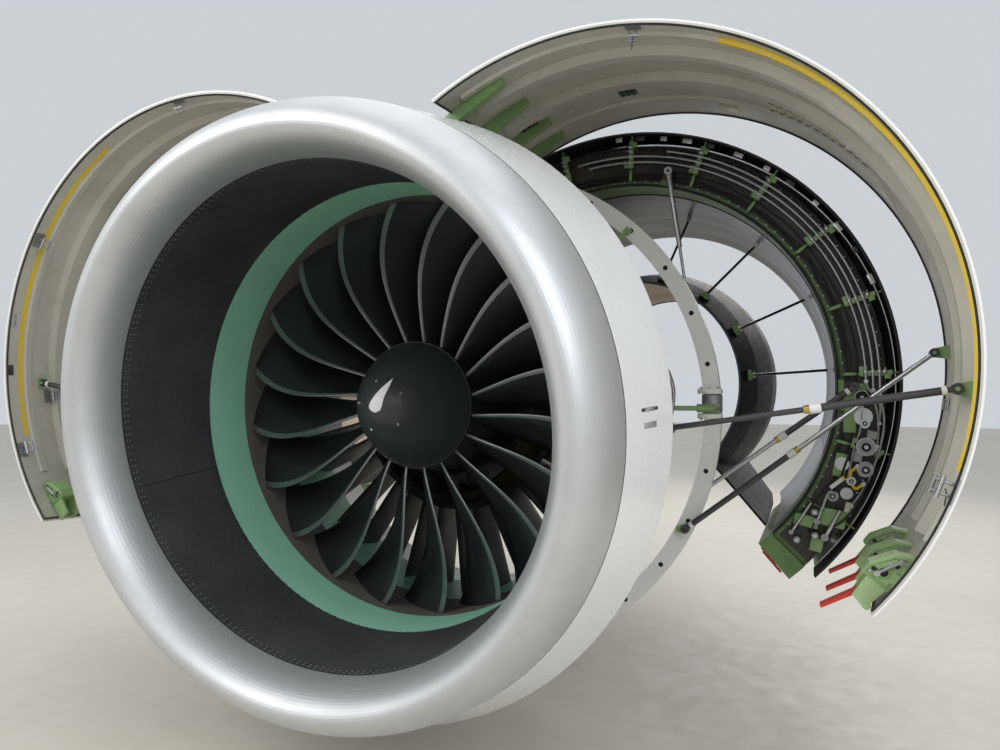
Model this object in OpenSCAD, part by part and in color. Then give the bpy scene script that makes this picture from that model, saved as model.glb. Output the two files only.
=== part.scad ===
// Geared turbofan engine with its nacelle standing open: inlet, fan, core, fan cowls and
// thrust reverser halves. The engine axis runs along Y, the inlet faces -Y and +Z is up.
// The part's origin is the centre of the four bolt holes on top of the pylon beam.
// Sizes below are given from the engine axis and from the inlet lip joint (y = 0).

/* [Fan] */
// Radius of the fan over its blade tips
fan_tip_r = 1034; // [1020:1:1034]
// Running gap between the blade tips and the rub strip
tip_gap = 6; // [4:0.5:8]
// Number of fan blades
fan_blades_n = 20; // [16:1:22]
// Radius of the fan hub at the blades' front edge
hub_front_r = 315; // [310:1:330]
// Radius of the fan hub at its back face
hub_back_r = 385; // [375:1:395]
// Where the hub starts, behind the lip joint
hub_front_y = 835; // [825:1:845]
// Length of the fan hub
hub_len = 290; // [285:1:300]
// Chord of a blade at its root
root_chord = 265; // [240:1:270]
// Chord of a blade at its tip
tip_chord = 350; // [300:1:360]
// Greatest thickness of a blade at its root
blade_t = 26; // [18:1:28]
// Length of the spinner
spinner_len = 370; // [340:1:390]
// Circle of the spinner bolts
spinner_bolt_r = 120; // [110:1:130]
// Wall of the spinner
spinner_t = 8; // [5:0.5:12]
// Radius of the fan shaft
fan_shaft_r = 90; // [75:1:95]

/* [Inlet] */
// Angle by which the inlet droops from the engine axis
droop = 5.2; // [4:0.1:6]
// Inside radius of the inlet duct behind the lip
throat_r = 1035; // [1032:1:1038]
// Thickness of the acoustic liner
acoustic_t = 20; // [14:1:24]
// Radius of the lip at its foremost line
lip_front_r = 1130; // [1120:1:1140]
// How far the lip reaches forward of its joint
lip_len = 210; // [190:1:230]
// Outside radius of the lip at its joint with the outer barrel
lip_outer_r = 1268; // [1260:1:1275]
// How far behind the inner joint the outer joint lies
lip_outer_y = 25; // [15:1:35]
// Thickness of the lip skin
lip_t = 5; // [4:0.5:7]
// Thickness of the outer barrel skin
barrel_t = 6; // [4:0.5:8]
// Thickness of the inlet bulkheads
bulkhead_t = 6; // [4:0.5:10]

/* [Fan case] */
// Front face of the fan case, behind the lip joint
case_front_y = 547; // [540:1:555]
// Back face of the fan case
case_back_y = 1515; // [1505:1:1525]
// Back edge of the painted band in front of the fan
band_back_y = 815; // [800:1:825]
// Back edge of the rub strip
rub_back_y = 1150; // [1130:1:1170]
// Thickness of the liners inside the case
liner_t = 14; // [10:1:18]
// Wall of the fan case
case_t = 16; // [12:1:20]
// Height of the case flanges
flange_h = 34; // [25:1:38]
// Thickness of the case flanges
flange_t = 14; // [10:1:18]
// Number of bolts round a case flange
case_bolts_n = 36; // [24:1:48]
// Thickness of the foil blanket
blanket_t = 22; // [14:1:26]
// Number of exit guide vanes
vanes_n = 36; // [30:1:40]
// Front edge of the exit guide vanes
vanes_y = 1290; // [1285:1:1300]
// Chord of an exit guide vane
vane_chord = 190; // [160:1:195]

/* [Cowls] */
// Outside radius of the nacelle where the fan cowls start
nacelle_front_r = 1358; // [1350:1:1365]
// Greatest outside radius of the nacelle
nacelle_r_max = 1422; // [1418:1:1426]
// How far the nacelle's centre lies below the engine axis
nacelle_drop = 50; // [40:1:55]
// Front edge of the fan cowls
cowl_front_y = 420; // [415:1:430]
// Back edge of the fan cowls
cowl_back_y = 1722; // [1715:1:1726]
// Thickness of a cowl panel
cowl_t = 16; // [12:0.5:20]
// Angle of a cowl's upper edge above the horizontal
cowl_top = 75; // [73:0.5:76]
// Angle of a cowl's lower edge below the horizontal
cowl_bottom = 88.5; // [88:0.1:89]
// Distance of the cowl hinge line from the centre plane
cowl_hinge_x = 240; // [235:1:245]
// Height of the cowl hinge line above the engine axis
cowl_hinge_z = 1260; // [1255:1:1265]
// Angle at which the right fan cowl stands open
right_open = 47; // [46:0.5:48]
// Angle at which the left fan cowl stands open
left_open = 48.5; // [47:0.5:50]
// Depth of a cowl rib
rib_h = 42; // [30:1:50]
// Width of a cowl rib at its foot
rib_w = 110; // [90:1:130]
// Width of a hinge arm
hinge_w = 40; // [30:1:50]
// Radius of a hinge pin
hinge_pin_r = 12; // [10:0.5:14]

/* [Thrust reverser] */
// Distance of the reverser hinge line from the centre plane
tr_hinge_x = 200; // [196:1:205]
// Height of the reverser hinge line above the engine axis
tr_hinge_z = 1220; // [1215:1:1225]
// Angle at which the reverser halves stand open
tr_open = 38.5; // [37.5:0.5:39]
// Front face of the reverser's frame
tr_front_y = 1740; // [1738:1:1745]
// Front edge of the sliding sleeve
sleeve_front_y = 1952; // [1948:1:1960]
// Back edge of the sliding sleeve
sleeve_back_y = 3300; // [3250:5:3350]
// Outside radius of the sleeve at its back edge
sleeve_back_r = 1200; // [1190:1:1215]
// Inside radius of the bypass duct in the reverser
duct_r_tr = 1112; // [1108:1:1118]
// Angle of a reverser half's upper edge above the horizontal
tr_top = 74; // [73:0.5:75]
// Angle of a reverser half's lower edge below the horizontal
tr_bottom = 83; // [82:0.5:84]
// Travel of the sliding sleeve
sleeve_travel = 500; // [450:5:520]
// Thickness of the inner structure's wall
ifs_t = 14; // [10:1:18]
// Front edge of the inner structure
ifs_front_y = 2052; // [2048:1:2060]
// Back edge of the inner structure
ifs_back_y = 3480; // [3450:5:3500]

/* [Support] */
// Outside radius of the white support ring
ring_r = 1396; // [1392:1:1398]
// Width of the support ring's flat face
ring_w = 88; // [80:1:95]
// Front face of the support ring
ring_y = 1602; // [1600:1:1606]
// Thickness of the support ring
ring_t = 46; // [40:1:50]
// Half width of the pylon beam
pylon_half = 150; // [140:1:155]
// Height of the pylon's bolted face above the engine axis
mount_z = 1560; // [1540:5:1580]
// Where the pylon's bolted face lies behind the lip joint
mount_y = 2300; // [2250:5:2350]
// Distance between the mount bolts across the pylon
mount_bolt_x = 200; // [180:5:220]
// Distance between the mount bolts along the pylon
mount_bolt_y = 480; // [440:5:520]
// Radius of the mount's bolt holes
mount_hole_r = 16; // [12:0.5:20]

/* [Hidden] */

// Gap left between pieces that seat on each other, and side clearance of the hinges
seat = 0.3;
side_gap = 2;
pin_gap = 0.1;
rod_pin_r = 8;
round_fn = 180;

duct_r = fan_tip_r + tip_gap;
case_in_r = duct_r + liner_t + seat;
case_out_r = case_in_r + case_t;
flange_r = case_out_r + flange_h;
blanket_r = case_out_r + seat + blanket_t;
hub_back_y = hub_front_y + hub_len;
ring_in_r = ring_r - ring_w;
sleeve_gap = 4;

// Outside radius of the nacelle at a distance behind the lip joint
nacelle_peak_y = 1500;
function nacelle_r(y) = y < nacelle_peak_y
    ? nacelle_r_max - (nacelle_r_max - nacelle_front_r)
        * pow((nacelle_peak_y - y) / (nacelle_peak_y - cowl_front_y), 2)
    : nacelle_r_max - (nacelle_r_max - sleeve_back_r)
        * pow(max(0, y - 1700) / (sleeve_back_y - 1700), 2);
function cowl_in_r(y) = nacelle_r(y) - cowl_t;

// Outside radius of the core's fairing, of the inner structure and of the duct wall
function fairing_r(y) = lookup(y, [[1180, 500], [1300, 556], [1450, 580], [1700, 600],
    [ifs_front_y - 12, 612]]);
function ifs_r(y) = lookup(y, [[ifs_front_y, 622], [2350, 690], [2750, 752], [3050, 758],
    [3300, 706], [ifs_back_y, 648]]);
function duct_wall_r(y) = lookup(y, [[sleeve_front_y, duct_r_tr], [2650, duct_r_tr],
    [3000, duct_r_tr - 18], [sleeve_back_y, duct_r_tr - 60]]);

function steps(a, b, n) = [for (i = [0:n]) a + (b - a) * i / n];
function turned_back(list) = [for (i = [len(list) - 1:-1:0]) list[i]];
function polar(phi, r) = [r * cos(phi), r * sin(phi)];
function on_nacelle(phi, r) = [r * cos(phi), r * sin(phi) - nacelle_drop];

// A profile of [radius, y] points turned about the engine axis
module turned() rotate([-90, 0, 0]) rotate_extrude($fn = round_fn) children();

// The same through an arc, from an upper angle clockwise to a lower one, seen from the front
module turned_arc(top, bottom) rotate([-90, 0, 0])
    rotate_extrude(angle = top - bottom, start = -top, $fn = round_fn) children();

module ring(r_in, r_out, y, len) turned() translate([r_in, y]) square([r_out - r_in, len]);

// A shape of [x, z] points made into a plate across the engine axis
module plate(y, w) translate([0, y + w / 2, 0]) rotate([90, 0, 0]) linear_extrude(w) children();

// Children placed at an angle and radius, local Z pointing outwards and local Y aft
module radial(phi, r, y) translate([0, y, 0]) rotate([0, -phi, 0]) translate([r, 0, 0])
    rotate([0, 90, 0]) children();

// A round bar between two points
module bar(p, q, r) {
    d = q - p;
    len = norm(d);
    translate(p) rotate([0, acos(d[2] / len), atan2(d[1], d[0])]) cylinder(r = r, h = len, $fn = 32);
}

// A shell between two lines of [radius, y] points, the second one lying inside the first
module shell_profile(outer, inner) polygon(concat(outer, turned_back(inner)));

// Moves that bring the part's frame, the nacelle's centre and the open panels into place
module placed() translate([0, -mount_y, -mount_z]) children();
module nacelle() translate([0, 0, -nacelle_drop]) children();
module mirrored(left) mirror([left ? 1 : 0, 0, 0]) children();
module swung(x, z, angle) translate([x, 0, z]) rotate([0, -angle, 0]) translate([-x, 0, -z]) children();
module drooped() translate([0, case_front_y, 0]) rotate([droop, 0, 0])
    translate([0, -case_front_y, 0]) children();
module cowl_half(left) placed() mirrored(left)
    swung(cowl_hinge_x, cowl_hinge_z, left ? left_open : right_open) children();
module tr_half(left) placed() mirrored(left) swung(tr_hinge_x, tr_hinge_z, tr_open) children();

function swing(p, h, a) = [h[0] + (p[0] - h[0]) * cos(a) - (p[1] - h[1]) * sin(a),
    h[1] + (p[0] - h[0]) * sin(a) + (p[1] - h[1]) * cos(a)];
cowl_hinge = [cowl_hinge_x, cowl_hinge_z];
tr_hinge = [tr_hinge_x, tr_hinge_z];

// Inlet

lip_end_angle = 70;
lip_outer_a = (lip_len + lip_outer_y) / (1 - cos(lip_end_angle));
function lip_outer(s, t) = let (b = (lip_outer_r - lip_front_r) / sin(lip_end_angle))
    [lip_front_r + (b - t) * sin(s), -lip_len + lip_outer_a - (lip_outer_a - t) * cos(s)];
function lip_inner(s, t) = [lip_front_r - (lip_front_r - throat_r - t) * cos(s), -(lip_len - t) * sin(s)];
function lip_line(t) = concat([for (s = steps(0, 90, 16)) lip_inner(s, t)],
    [for (s = steps(4, lip_end_angle, 16)) lip_outer(s, t)]);

module inlet_lip() color("silver") placed() drooped() turned()
    polygon(concat(lip_line(0), turned_back(lip_line(lip_t))));

// The outer barrel joins the drooped lip to the upright front edge of the fan cowls
barrel_segments = 72;
barrel_rows = 4;
barrel_back_y = cowl_front_y - 6;
function barrel_pt(u, phi, t) = let (
    r = lip_outer_r + (nacelle_front_r - lip_outer_r) * u - t,
    dy = lip_outer_y + 2.2 - case_front_y,
    front_y = case_front_y + dy * cos(droop) - r * sin(phi) * sin(droop),
    front_z = dy * sin(droop) + r * sin(phi) * cos(droop),
    back_z = r * sin(phi) - nacelle_drop)
    [r * cos(phi), front_y * (1 - u) + barrel_back_y * u, front_z * (1 - u) + back_z * u];
function barrel_rings() = concat(
    [for (i = [0:barrel_rows]) [for (k = [0:barrel_segments - 1])
        barrel_pt(i / barrel_rows, 360 * k / barrel_segments, 0)]],
    [for (i = [barrel_rows:-1:0]) [for (k = [0:barrel_segments - 1])
        barrel_pt(i / barrel_rows, 360 * k / barrel_segments, barrel_t)]]);

// A closed body through a loop of rings with as many points each
module ring_loop(rings) {
    n = len(rings);
    m = len(rings[0]);
    points = [for (r = rings) each r];
    faces = [for (i = [0:n - 1]) for (k = [0:m - 1])
        let (a = i * m + k, b = i * m + (k + 1) % m, c = ((i + 1) % n) * m + (k + 1) % m,
            d = ((i + 1) % n) * m + k)
        each [[a, b, c], [a, c, d]]];
    polyhedron(points = points, faces = faces);
}

module inlet_outer_barrel() color("white") placed() ring_loop(barrel_rings());

inlet_back_y = case_front_y - seat;
module inlet_acoustic_liner() color("dimgray") placed() {
    intersection() {
        drooped() ring(throat_r, throat_r + acoustic_t, seat, case_front_y + 200);
        translate([-2000, -500, -2000]) cube([4000, 500 + inlet_back_y, 4000]);
    }
    difference() {
        ring(throat_r + acoustic_t / 2, flange_r, inlet_back_y - flange_t, flange_t);
        flange_holes(inlet_back_y - flange_t);
    }
}

module flange_holes(y) for (i = [0:case_bolts_n - 1])
    rotate([0, 360 * i / case_bolts_n, 0]) translate([flange_r - 13, y - 1, 0])
        rotate([-90, 0, 0]) cylinder(r = 5, h = flange_t + 2, $fn = 24);

// The front bulkhead closes the lip, the back one ties the two barrels together
back_bulkhead_y = 335;
back_bulkhead_r = 1327;
back_bulkhead_z = -42.5;
module inlet_bulkheads() color("gray") placed() {
    drooped() ring(throat_r + acoustic_t + seat, lip_outer_r - 11.5, seat + 2, bulkhead_t);
    drooped() turned() {
        band = concat([for (s = steps(63, 68, 4)) lip_outer(s, lip_t + seat)],
            [[lip_outer_r - 8.5, lip_outer_y + 2], [lip_outer_r - 8.5, lip_outer_y + 35]]);
        polygon(concat(band, [for (p = turned_back(band)) p - [4.5, 0]]));
    }
    difference() {
        intersection() {
            translate([-1500, back_bulkhead_y, -1500]) cube([3000, bulkhead_t, 3000]);
            translate([0, 0, back_bulkhead_z]) rotate([-90, 0, 0])
                cylinder(r = back_bulkhead_r, h = 600, $fn = round_fn);
        }
        drooped() rotate([-90, 0, 0])
            cylinder(r = throat_r + acoustic_t + seat, h = 700, $fn = round_fn);
    }
}

// Fan case

module fan_case() color("gainsboro") placed() difference() {
    union() {
        ring(case_in_r, case_out_r, case_front_y, case_back_y - case_front_y);
        for (y = [case_front_y, case_back_y - flange_t]) ring(case_out_r - 1, flange_r, y, flange_t);
        ring(duct_r, case_out_r, case_back_y - 3, 9);
        ring(duct_r, duct_r + 10, case_back_y, tr_front_y - 10 - case_back_y);
    }
    flange_holes(case_front_y);
    flange_holes(case_back_y - flange_t);
}

module fan_case_liner() color("mediumseagreen") placed() {
    ring(duct_r, duct_r + liner_t, case_front_y + 2, band_back_y - case_front_y - 2);
    ring(duct_r, duct_r + liner_t, rub_back_y + seat, case_back_y - rub_back_y - 4);
}

module rub_strip() color("rosybrown") placed()
    ring(duct_r, duct_r + liner_t, band_back_y + seat, rub_back_y - band_back_y - seat);

blanket_front_y = 760;
blanket_back_y = case_back_y - flange_t - 6;
module foil_blanket() color("lightgray") placed() turned() {
    r0 = case_out_r + seat;
    polygon([[r0, blanket_front_y], [r0 + blanket_t * 0.7, blanket_front_y + 12],
        [r0 + blanket_t, blanket_front_y + 120], [r0 + blanket_t * 0.6, blanket_front_y + 240],
        [r0 + blanket_t, blanket_front_y + 360], [r0 + blanket_t * 0.6, blanket_front_y + 500],
        [r0 + blanket_t, blanket_back_y - 100], [r0 + blanket_t * 0.7, blanket_back_y - 12],
        [r0, blanket_back_y]]);
}

// Brackets and pipes on the case: the seats of the front cowl rods and a pipe in front of them
rod_y = 662;
left_rod_y = rod_y - 40;
front_rod_root = [1296, -80];
rod_r = 15;
seat_gap = 4;
module rod_seat(y) {
    translate([case_out_r + 1, y, front_rod_root[1] - 34])
        cube([front_rod_root[0] - case_out_r, 10, 56]);
    translate([case_out_r - 8, y, front_rod_root[1] - 60]) cube([24, 60, 108]);
    translate([front_rod_root[0], y + 10, front_rod_root[1]]) rotate([90, 0, 0])
        cylinder(r = 28, h = 10, $fn = 48);
}
pipe_y = 588;
module case_fittings() color("silver") placed() {
    difference() {
        union() {
            rod_seat(rod_y + 9 + seat_gap);
            mirrored(true) rod_seat(left_rod_y + 9 + seat_gap);
        }
        rotate([-90, 0, 0]) cylinder(r = case_out_r + seat, h = 2000, $fn = round_fn);
    }
    turned_arc(52, -60) translate([case_out_r + 52, pipe_y]) circle(r = 13);
    for (phi = [52, 5, -60]) radial(phi, case_out_r + seat, pipe_y) cylinder(r = 17, h = 52, $fn = 32);
}

// Exit guide vanes between the core's fairing and the case
module vane_section(chord, t, lean) polygon([for (k = steps(0, 360, 16)) if (k < 360)
    let (s = (1 - cos(k)) / 2, h = (t / 2) * sin(k) * (1.25 - 0.5 * s) + t * 0.8 * sin(180 * s))
    [h + lean * (1 - s) * (1 - s), s * chord]]);
module exit_guide_vanes() color("darkgray") placed() {
    lean = 42;
    r0 = fairing_r(vanes_y + vane_chord) + 2;
    h = duct_r - 3 - r0;
    difference() {
        ring(fairing_r(vanes_y) - 2, r0 + 8, vanes_y + 20, vane_chord - 40);
        turned() polygon(concat([[0, vanes_y]], [for (y = [vanes_y, 1300, 1450, vanes_y + vane_chord])
            [fairing_r(y) + seat, y]], [[0, vanes_y + vane_chord]]));
    }
    for (i = [0:vanes_n - 1]) radial(360 * (i + 0.5) / vanes_n, r0 + 1, vanes_y)
        linear_extrude(h) vane_section(vane_chord, 13, lean);
}

// Core

splitter_y = 1180;
fairing_t = 8;
core_hub_r = 372;
fairing_back_y = ifs_front_y - 12;
module core_inlet() color("peru") placed() {
    ys = [splitter_y, 1210, 1300, 1450, 1700, fairing_back_y];
    turned() polygon(concat([for (y = ys) [fairing_r(y), y]],
        [for (y = turned_back(ys)) [y < 1200 ? fairing_r(y) - 3 : fairing_r(y) - fairing_t - (y < 1220 ? 4 : 0), y]]));
    turned() polygon([[fairing_r(splitter_y) - 3, splitter_y], [fairing_r(1300) - 6, 1300],
        [490, 1390], [480, 1390], [480, 1215]]);
    turned() polygon([[hub_back_r - 8, hub_back_y + 12], [core_hub_r + 8, 1240], [core_hub_r, 1390],
        [core_hub_r - 14, 1390], [core_hub_r - 12, 1240], [hub_back_r - 26, hub_back_y + 12]]);
    for (i = [0:9]) radial(36 * i, core_hub_r - 2, 1226) linear_extrude(112)
        vane_section(120, 12, 16);
}

core_line = [[1391, 478], [1580, 470], [1690, 305], [2140, 238], [2190, 370], [2470, 370],
    [2520, 318], [2620, 345], [2950, 490], [3050, 500]];
core_t = 10;
function core_in_r(y) = lookup(y, core_line);

// A hub with struts that carries a bearing inside the flow path
module spider(y, r_hub, r_out, n) {
    ring(r_hub, r_hub + 18, y, 34);
    for (i = [0:n - 1]) rotate([0, 360 * (i + 0.5) / n, 0])
        translate([r_hub + 12, y + 4, -5]) cube([r_out - r_hub - 12, 26, 10]);
}

low_shaft_r = 55;
high_shaft_r = 85;
bearing_h = 40;
shaft_gap = 0.05;
fan_bearing_y = 1150;
module core_case() color("tan") placed() {
    turned() polygon(concat([for (p = core_line) [p[1] + core_t, p[0]]],
        [for (p = turned_back(core_line)) [p[1], p[0]]]));
    ring(core_in_r(1440) + core_t - 2, fairing_r(1440) - fairing_t - 1, 1440, 16);
    ring(core_in_r(1990) + 6, fairing_r(1990) - fairing_t - 1, 1990, 12);
    spider(1604, high_shaft_r + bearing_h + seat, core_in_r(1620) + 4, 8);
    spider(2574, high_shaft_r + bearing_h + seat, core_in_r(2590) + 4, 8);
    spider(3000, low_shaft_r + bearing_h + seat, core_in_r(3020) + 4, 10);
    // Combustor liner, hung inside the case
    turned() polygon([[250, 2200], [345, 2220], [345, 2450], [300, 2480], [300, 2474], [339, 2446],
        [339, 2226], [250, 2206]]);
    for (i = [0:11]) rotate([0, 30 * i, 0]) translate([342, 2300, 0]) rotate([0, 90, 0])
        cylinder(r = 10, h = 32, $fn = 24);
}

nozzle_front_y = 3052;
nozzle_back_y = 3900;
module exhaust_nozzle() color("burlywood") placed() turned() {
    line = [[nozzle_front_y + seat, 502], [3180, 560], [3330, 588], [3480, 572],
        [3700, 498], [nozzle_back_y, 428]];
    polygon(concat([for (p = line) [p[1] + 8, p[0]]], [for (p = turned_back(line)) [p[1], p[0]]]));
}

module exhaust_plug() color("burlywood") placed() {
    line = [[3040, 118], [3060, 250], [3200, 330], [3400, 345], [3700, 285], [4000, 190],
        [4250, 95], [4330, 40]];
    turned() polygon(concat([for (p = line) [p[1], p[0]]], [[30, 4330]],
        [for (p = turned_back(line)) if (p[0] < 4300 && p[0] > 3050) [p[1] - 7, p[0]]], [[96, 3046], [96, 3040]]));
    for (i = [0:9]) radial(36 * i + 18, 322, 3200) linear_extrude(241)
        vane_section(150, 16, 0);
}

module accessory_gearbox() color("lightsteelblue") placed() {
    plate(1880, 90) polygon([for (phi = steps(-140, -40, 12)) polar(phi, 470)]);
    translate([-60, 1760, -440]) rotate([-90, 0, 0]) cylinder(r = 62, h = 76, $fn = 48);
    translate([110, 1750, -420]) rotate([-90, 0, 0]) cylinder(r = 48, h = 86, $fn = 48);
    translate([-190, 1770, -400]) rotate([-90, 0, 0]) cylinder(r = 42, h = 66, $fn = 48);
    translate([0, 1924, -430]) rotate([-90, 0, 0]) cylinder(r = 46, h = 60, $fn = 48);
    difference() {
        for (x = [-120, 120]) translate([x - 12, 1850, -400]) cube([24, 40, 180]);
        rotate([-90, 0, 0]) cylinder(r = core_in_r(1850) + core_t + seat, h = 2400, $fn = 96);
    }
}

module shaft_bearings() color("slategray") placed() {
    ring(fan_shaft_r + shaft_gap, fan_shaft_r + bearing_h, fan_bearing_y, 34);
    turned() polygon([[fan_shaft_r + bearing_h - 1, fan_bearing_y + 4], [300, 1330],
        [core_hub_r - 14 - seat, 1340], [core_hub_r - 14 - seat, 1352], [296, 1342],
        [fan_shaft_r + bearing_h - 1, fan_bearing_y + 20]]);
    ring(low_shaft_r + shaft_gap, low_shaft_r + bearing_h, 3000, 34);
    for (y = [1604, 2574]) ring(high_shaft_r + shaft_gap, high_shaft_r + bearing_h, y, 34);
}

gearbox_y = 1245;
gearbox_len = 110;
module reduction_gearbox() color("lightgray") placed() {
    ring(fan_shaft_r + 0.5, 190, gearbox_y, 14);
    ring(176, 190, gearbox_y, gearbox_len);
    ring(low_shaft_r + 0.5, 190, gearbox_y + gearbox_len - 14, 14);
    ring(low_shaft_r + 40, 172, gearbox_y + 30, 50);
    ring(170, 178, gearbox_y + 40, 20);
    turned() polygon([[188, 1338], [core_hub_r - 14 - seat, 1362], [core_hub_r - 14 - seat, 1376],
        [188, 1352]]);
}

// Rotors

spinner_base_r = hub_front_r - 3;
spinner_power = 0.54;
spinner_bolt_phase = 29.5;
spinner_bolt_s = pow(spinner_bolt_r / spinner_base_r, 1 / spinner_power);
spinner_bolt_slope = spinner_power * spinner_base_r / spinner_len * pow(spinner_bolt_s, spinner_power - 1);
function spinner_line(t) = [for (u = steps(0, 1, 18)) [(spinner_base_r - t) * pow(u, 2 * spinner_power),
    hub_front_y - 1 - (spinner_len - t) * (1 - u * u)]];
module spinner() color("#26282b") placed() {
    turned() polygon(concat(spinner_line(0), turned_back(spinner_line(spinner_t))));
    for (i = [0:4]) rotate([0, 72 * i - spinner_bolt_phase, 0])
        translate([spinner_bolt_r, hub_front_y - 1 - spinner_len * (1 - spinner_bolt_s), 0])
            rotate([0, 0, atan(1 / spinner_bolt_slope)]) rotate([90, 0, 0]) translate([0, 0, -3])
                cylinder(r = 7, h = 5, $fn = 24);
}

function hub_r_at(y) = hub_front_r + (hub_back_r - hub_front_r)
    * min(1, max(0, (y - hub_front_y) / hub_len));
module fan_hub() color("dimgray") placed() {
    turned() polygon([[hub_front_r, hub_front_y], [hub_back_r, hub_back_y], [hub_back_r - 22, hub_back_y],
        [hub_front_r - 22, hub_front_y + 40], [fan_shaft_r - 4, 1010], [fan_shaft_r - 4, 985],
        [hub_front_r - 30, hub_front_y]]);
    ring(fan_shaft_r - 22, fan_shaft_r, 980, gearbox_y + 60 - 980);
}

// Fan blades: sections that turn, bow and thicken from the hub to the tip
blade_rows = 8;
blade_phase = 10;
section_n = 12;
function blade_chord(t) = root_chord + (tip_chord - root_chord) * t + 14 * sin(180 * t);
function blade_stagger(t) = 14 + 49 * pow(t, 0.85);
function blade_front_y(t) = hub_front_y + 12 - 52 * sin(180 * pow(t, 0.9)) * 0.9 + 14 * t;
function blade_bow(t) = 21 * t * (1 - t) - 1.5 * t;
function blade_thick(t) = blade_t * (1 - 0.66 * t);
function blade_pt(t, k) = let (
    a = 360 * k / section_n,
    s = (1 - cos(a)) / 2,
    side = sin(a) >= 0 ? 1 : -1,
    half = blade_thick(t) * (0.10 + 0.9 * sqrt(abs(sin(a))) * (1 - 0.35 * s)) / 2 * (abs(sin(a)) < 0.01 ? 0 : 1),
    camber = blade_chord(t) * (0.10 - 0.065 * t) * sin(180 * s),
    g = blade_stagger(t) - (1 - t) * 14 * (2 * s - 1),
    across = s * blade_chord(t) * sin(blade_stagger(t)) + camber * cos(g) + side * half * cos(g),
    y = blade_front_y(t) + s * blade_chord(t) * cos(blade_stagger(t)) - (camber + side * half) * sin(g),
    r = (hub_r_at(y) + 0.6) * (1 - t) + fan_tip_r * t,
    phi = blade_bow(t) - across / r * 180 / PI)
    [r * cos(phi), y, r * sin(phi)];
module fan_blade() {
    points = [for (i = [0:blade_rows]) for (k = [0:section_n - 1]) blade_pt(i / blade_rows, k)];
    m = section_n;
    sides = [for (i = [0:blade_rows - 1]) for (k = [0:m - 1])
        let (a = i * m + k, b = i * m + (k + 1) % m, c = (i + 1) * m + (k + 1) % m, d = (i + 1) * m + k)
        each [[a, c, b], [a, d, c]]];
    e = blade_rows * m;
    root = [for (k = [0:m / 2 - 1]) each [[k, k + 1, m - k - 1], [k, m - k - 1, (m - k) % m]]];
    tip = [for (f = root) [e + f[2], e + f[1], e + f[0]]];
    caps = [for (f = concat(root, tip)) if (f[0] != f[1] && f[1] != f[2] && f[0] != f[2]) f];
    polyhedron(points = points, faces = concat(sides, caps));
}
module fan_blades() color("#2f3236") placed()
    for (i = [0:fan_blades_n - 1]) rotate([0, 360 * i / fan_blades_n - blade_phase, 0]) fan_blade();

module low_shaft() color("lightslategray") placed()
    ring(low_shaft_r - 16, low_shaft_r, gearbox_y + 90, 3036 - gearbox_y - 90);

// A drum with its rows of rotor blades turned as rims
module rotor(y0, y1, drum0, drum1, rim0, rim1, n, bore, web_y) {
    turned() polygon([[drum0, y0], [drum1, y1], [drum1 - 14, y1], [drum0 - 14, y0]]);
    for (i = [0:n - 1]) let (u = (i + 0.5) / n, y = y0 + (y1 - y0) * u) ring(drum0 + (drum1 - drum0) * u - 10,
        rim0 + (rim1 - rim0) * u, y - (y1 - y0) / n * 0.22, (y1 - y0) / n * 0.44);
    turned() polygon([[bore, web_y], [drum0 + (drum1 - drum0) * 0.5 - 6, web_y],
        [drum0 + (drum1 - drum0) * 0.5 - 6, web_y + 12], [bore, web_y + 20]]);
}
module low_compressor() color("silver") placed()
    rotor(1405, 1570, 372, 345, 466, 458, 3, low_shaft_r + seat, 1478);
module low_turbine() color("silver") placed()
    rotor(2650, 2935, 250, 300, 345, 468, 3, low_shaft_r + seat, 2780);
module high_compressor() color("silver") placed() {
    rotor(1700, 2130, 210, 200, 290, 229, 8, high_shaft_r - 1, 1905);
    ring(high_shaft_r - 16, high_shaft_r, 1596, 2620 - 1596);
}
module high_turbine() color("silver") placed()
    rotor(2492, 2560, 210, 210, 308, 312, 2, high_shaft_r + seat, 2516);

// Pylon with its bolted face and the hinge lugs of both hinge lines

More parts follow.
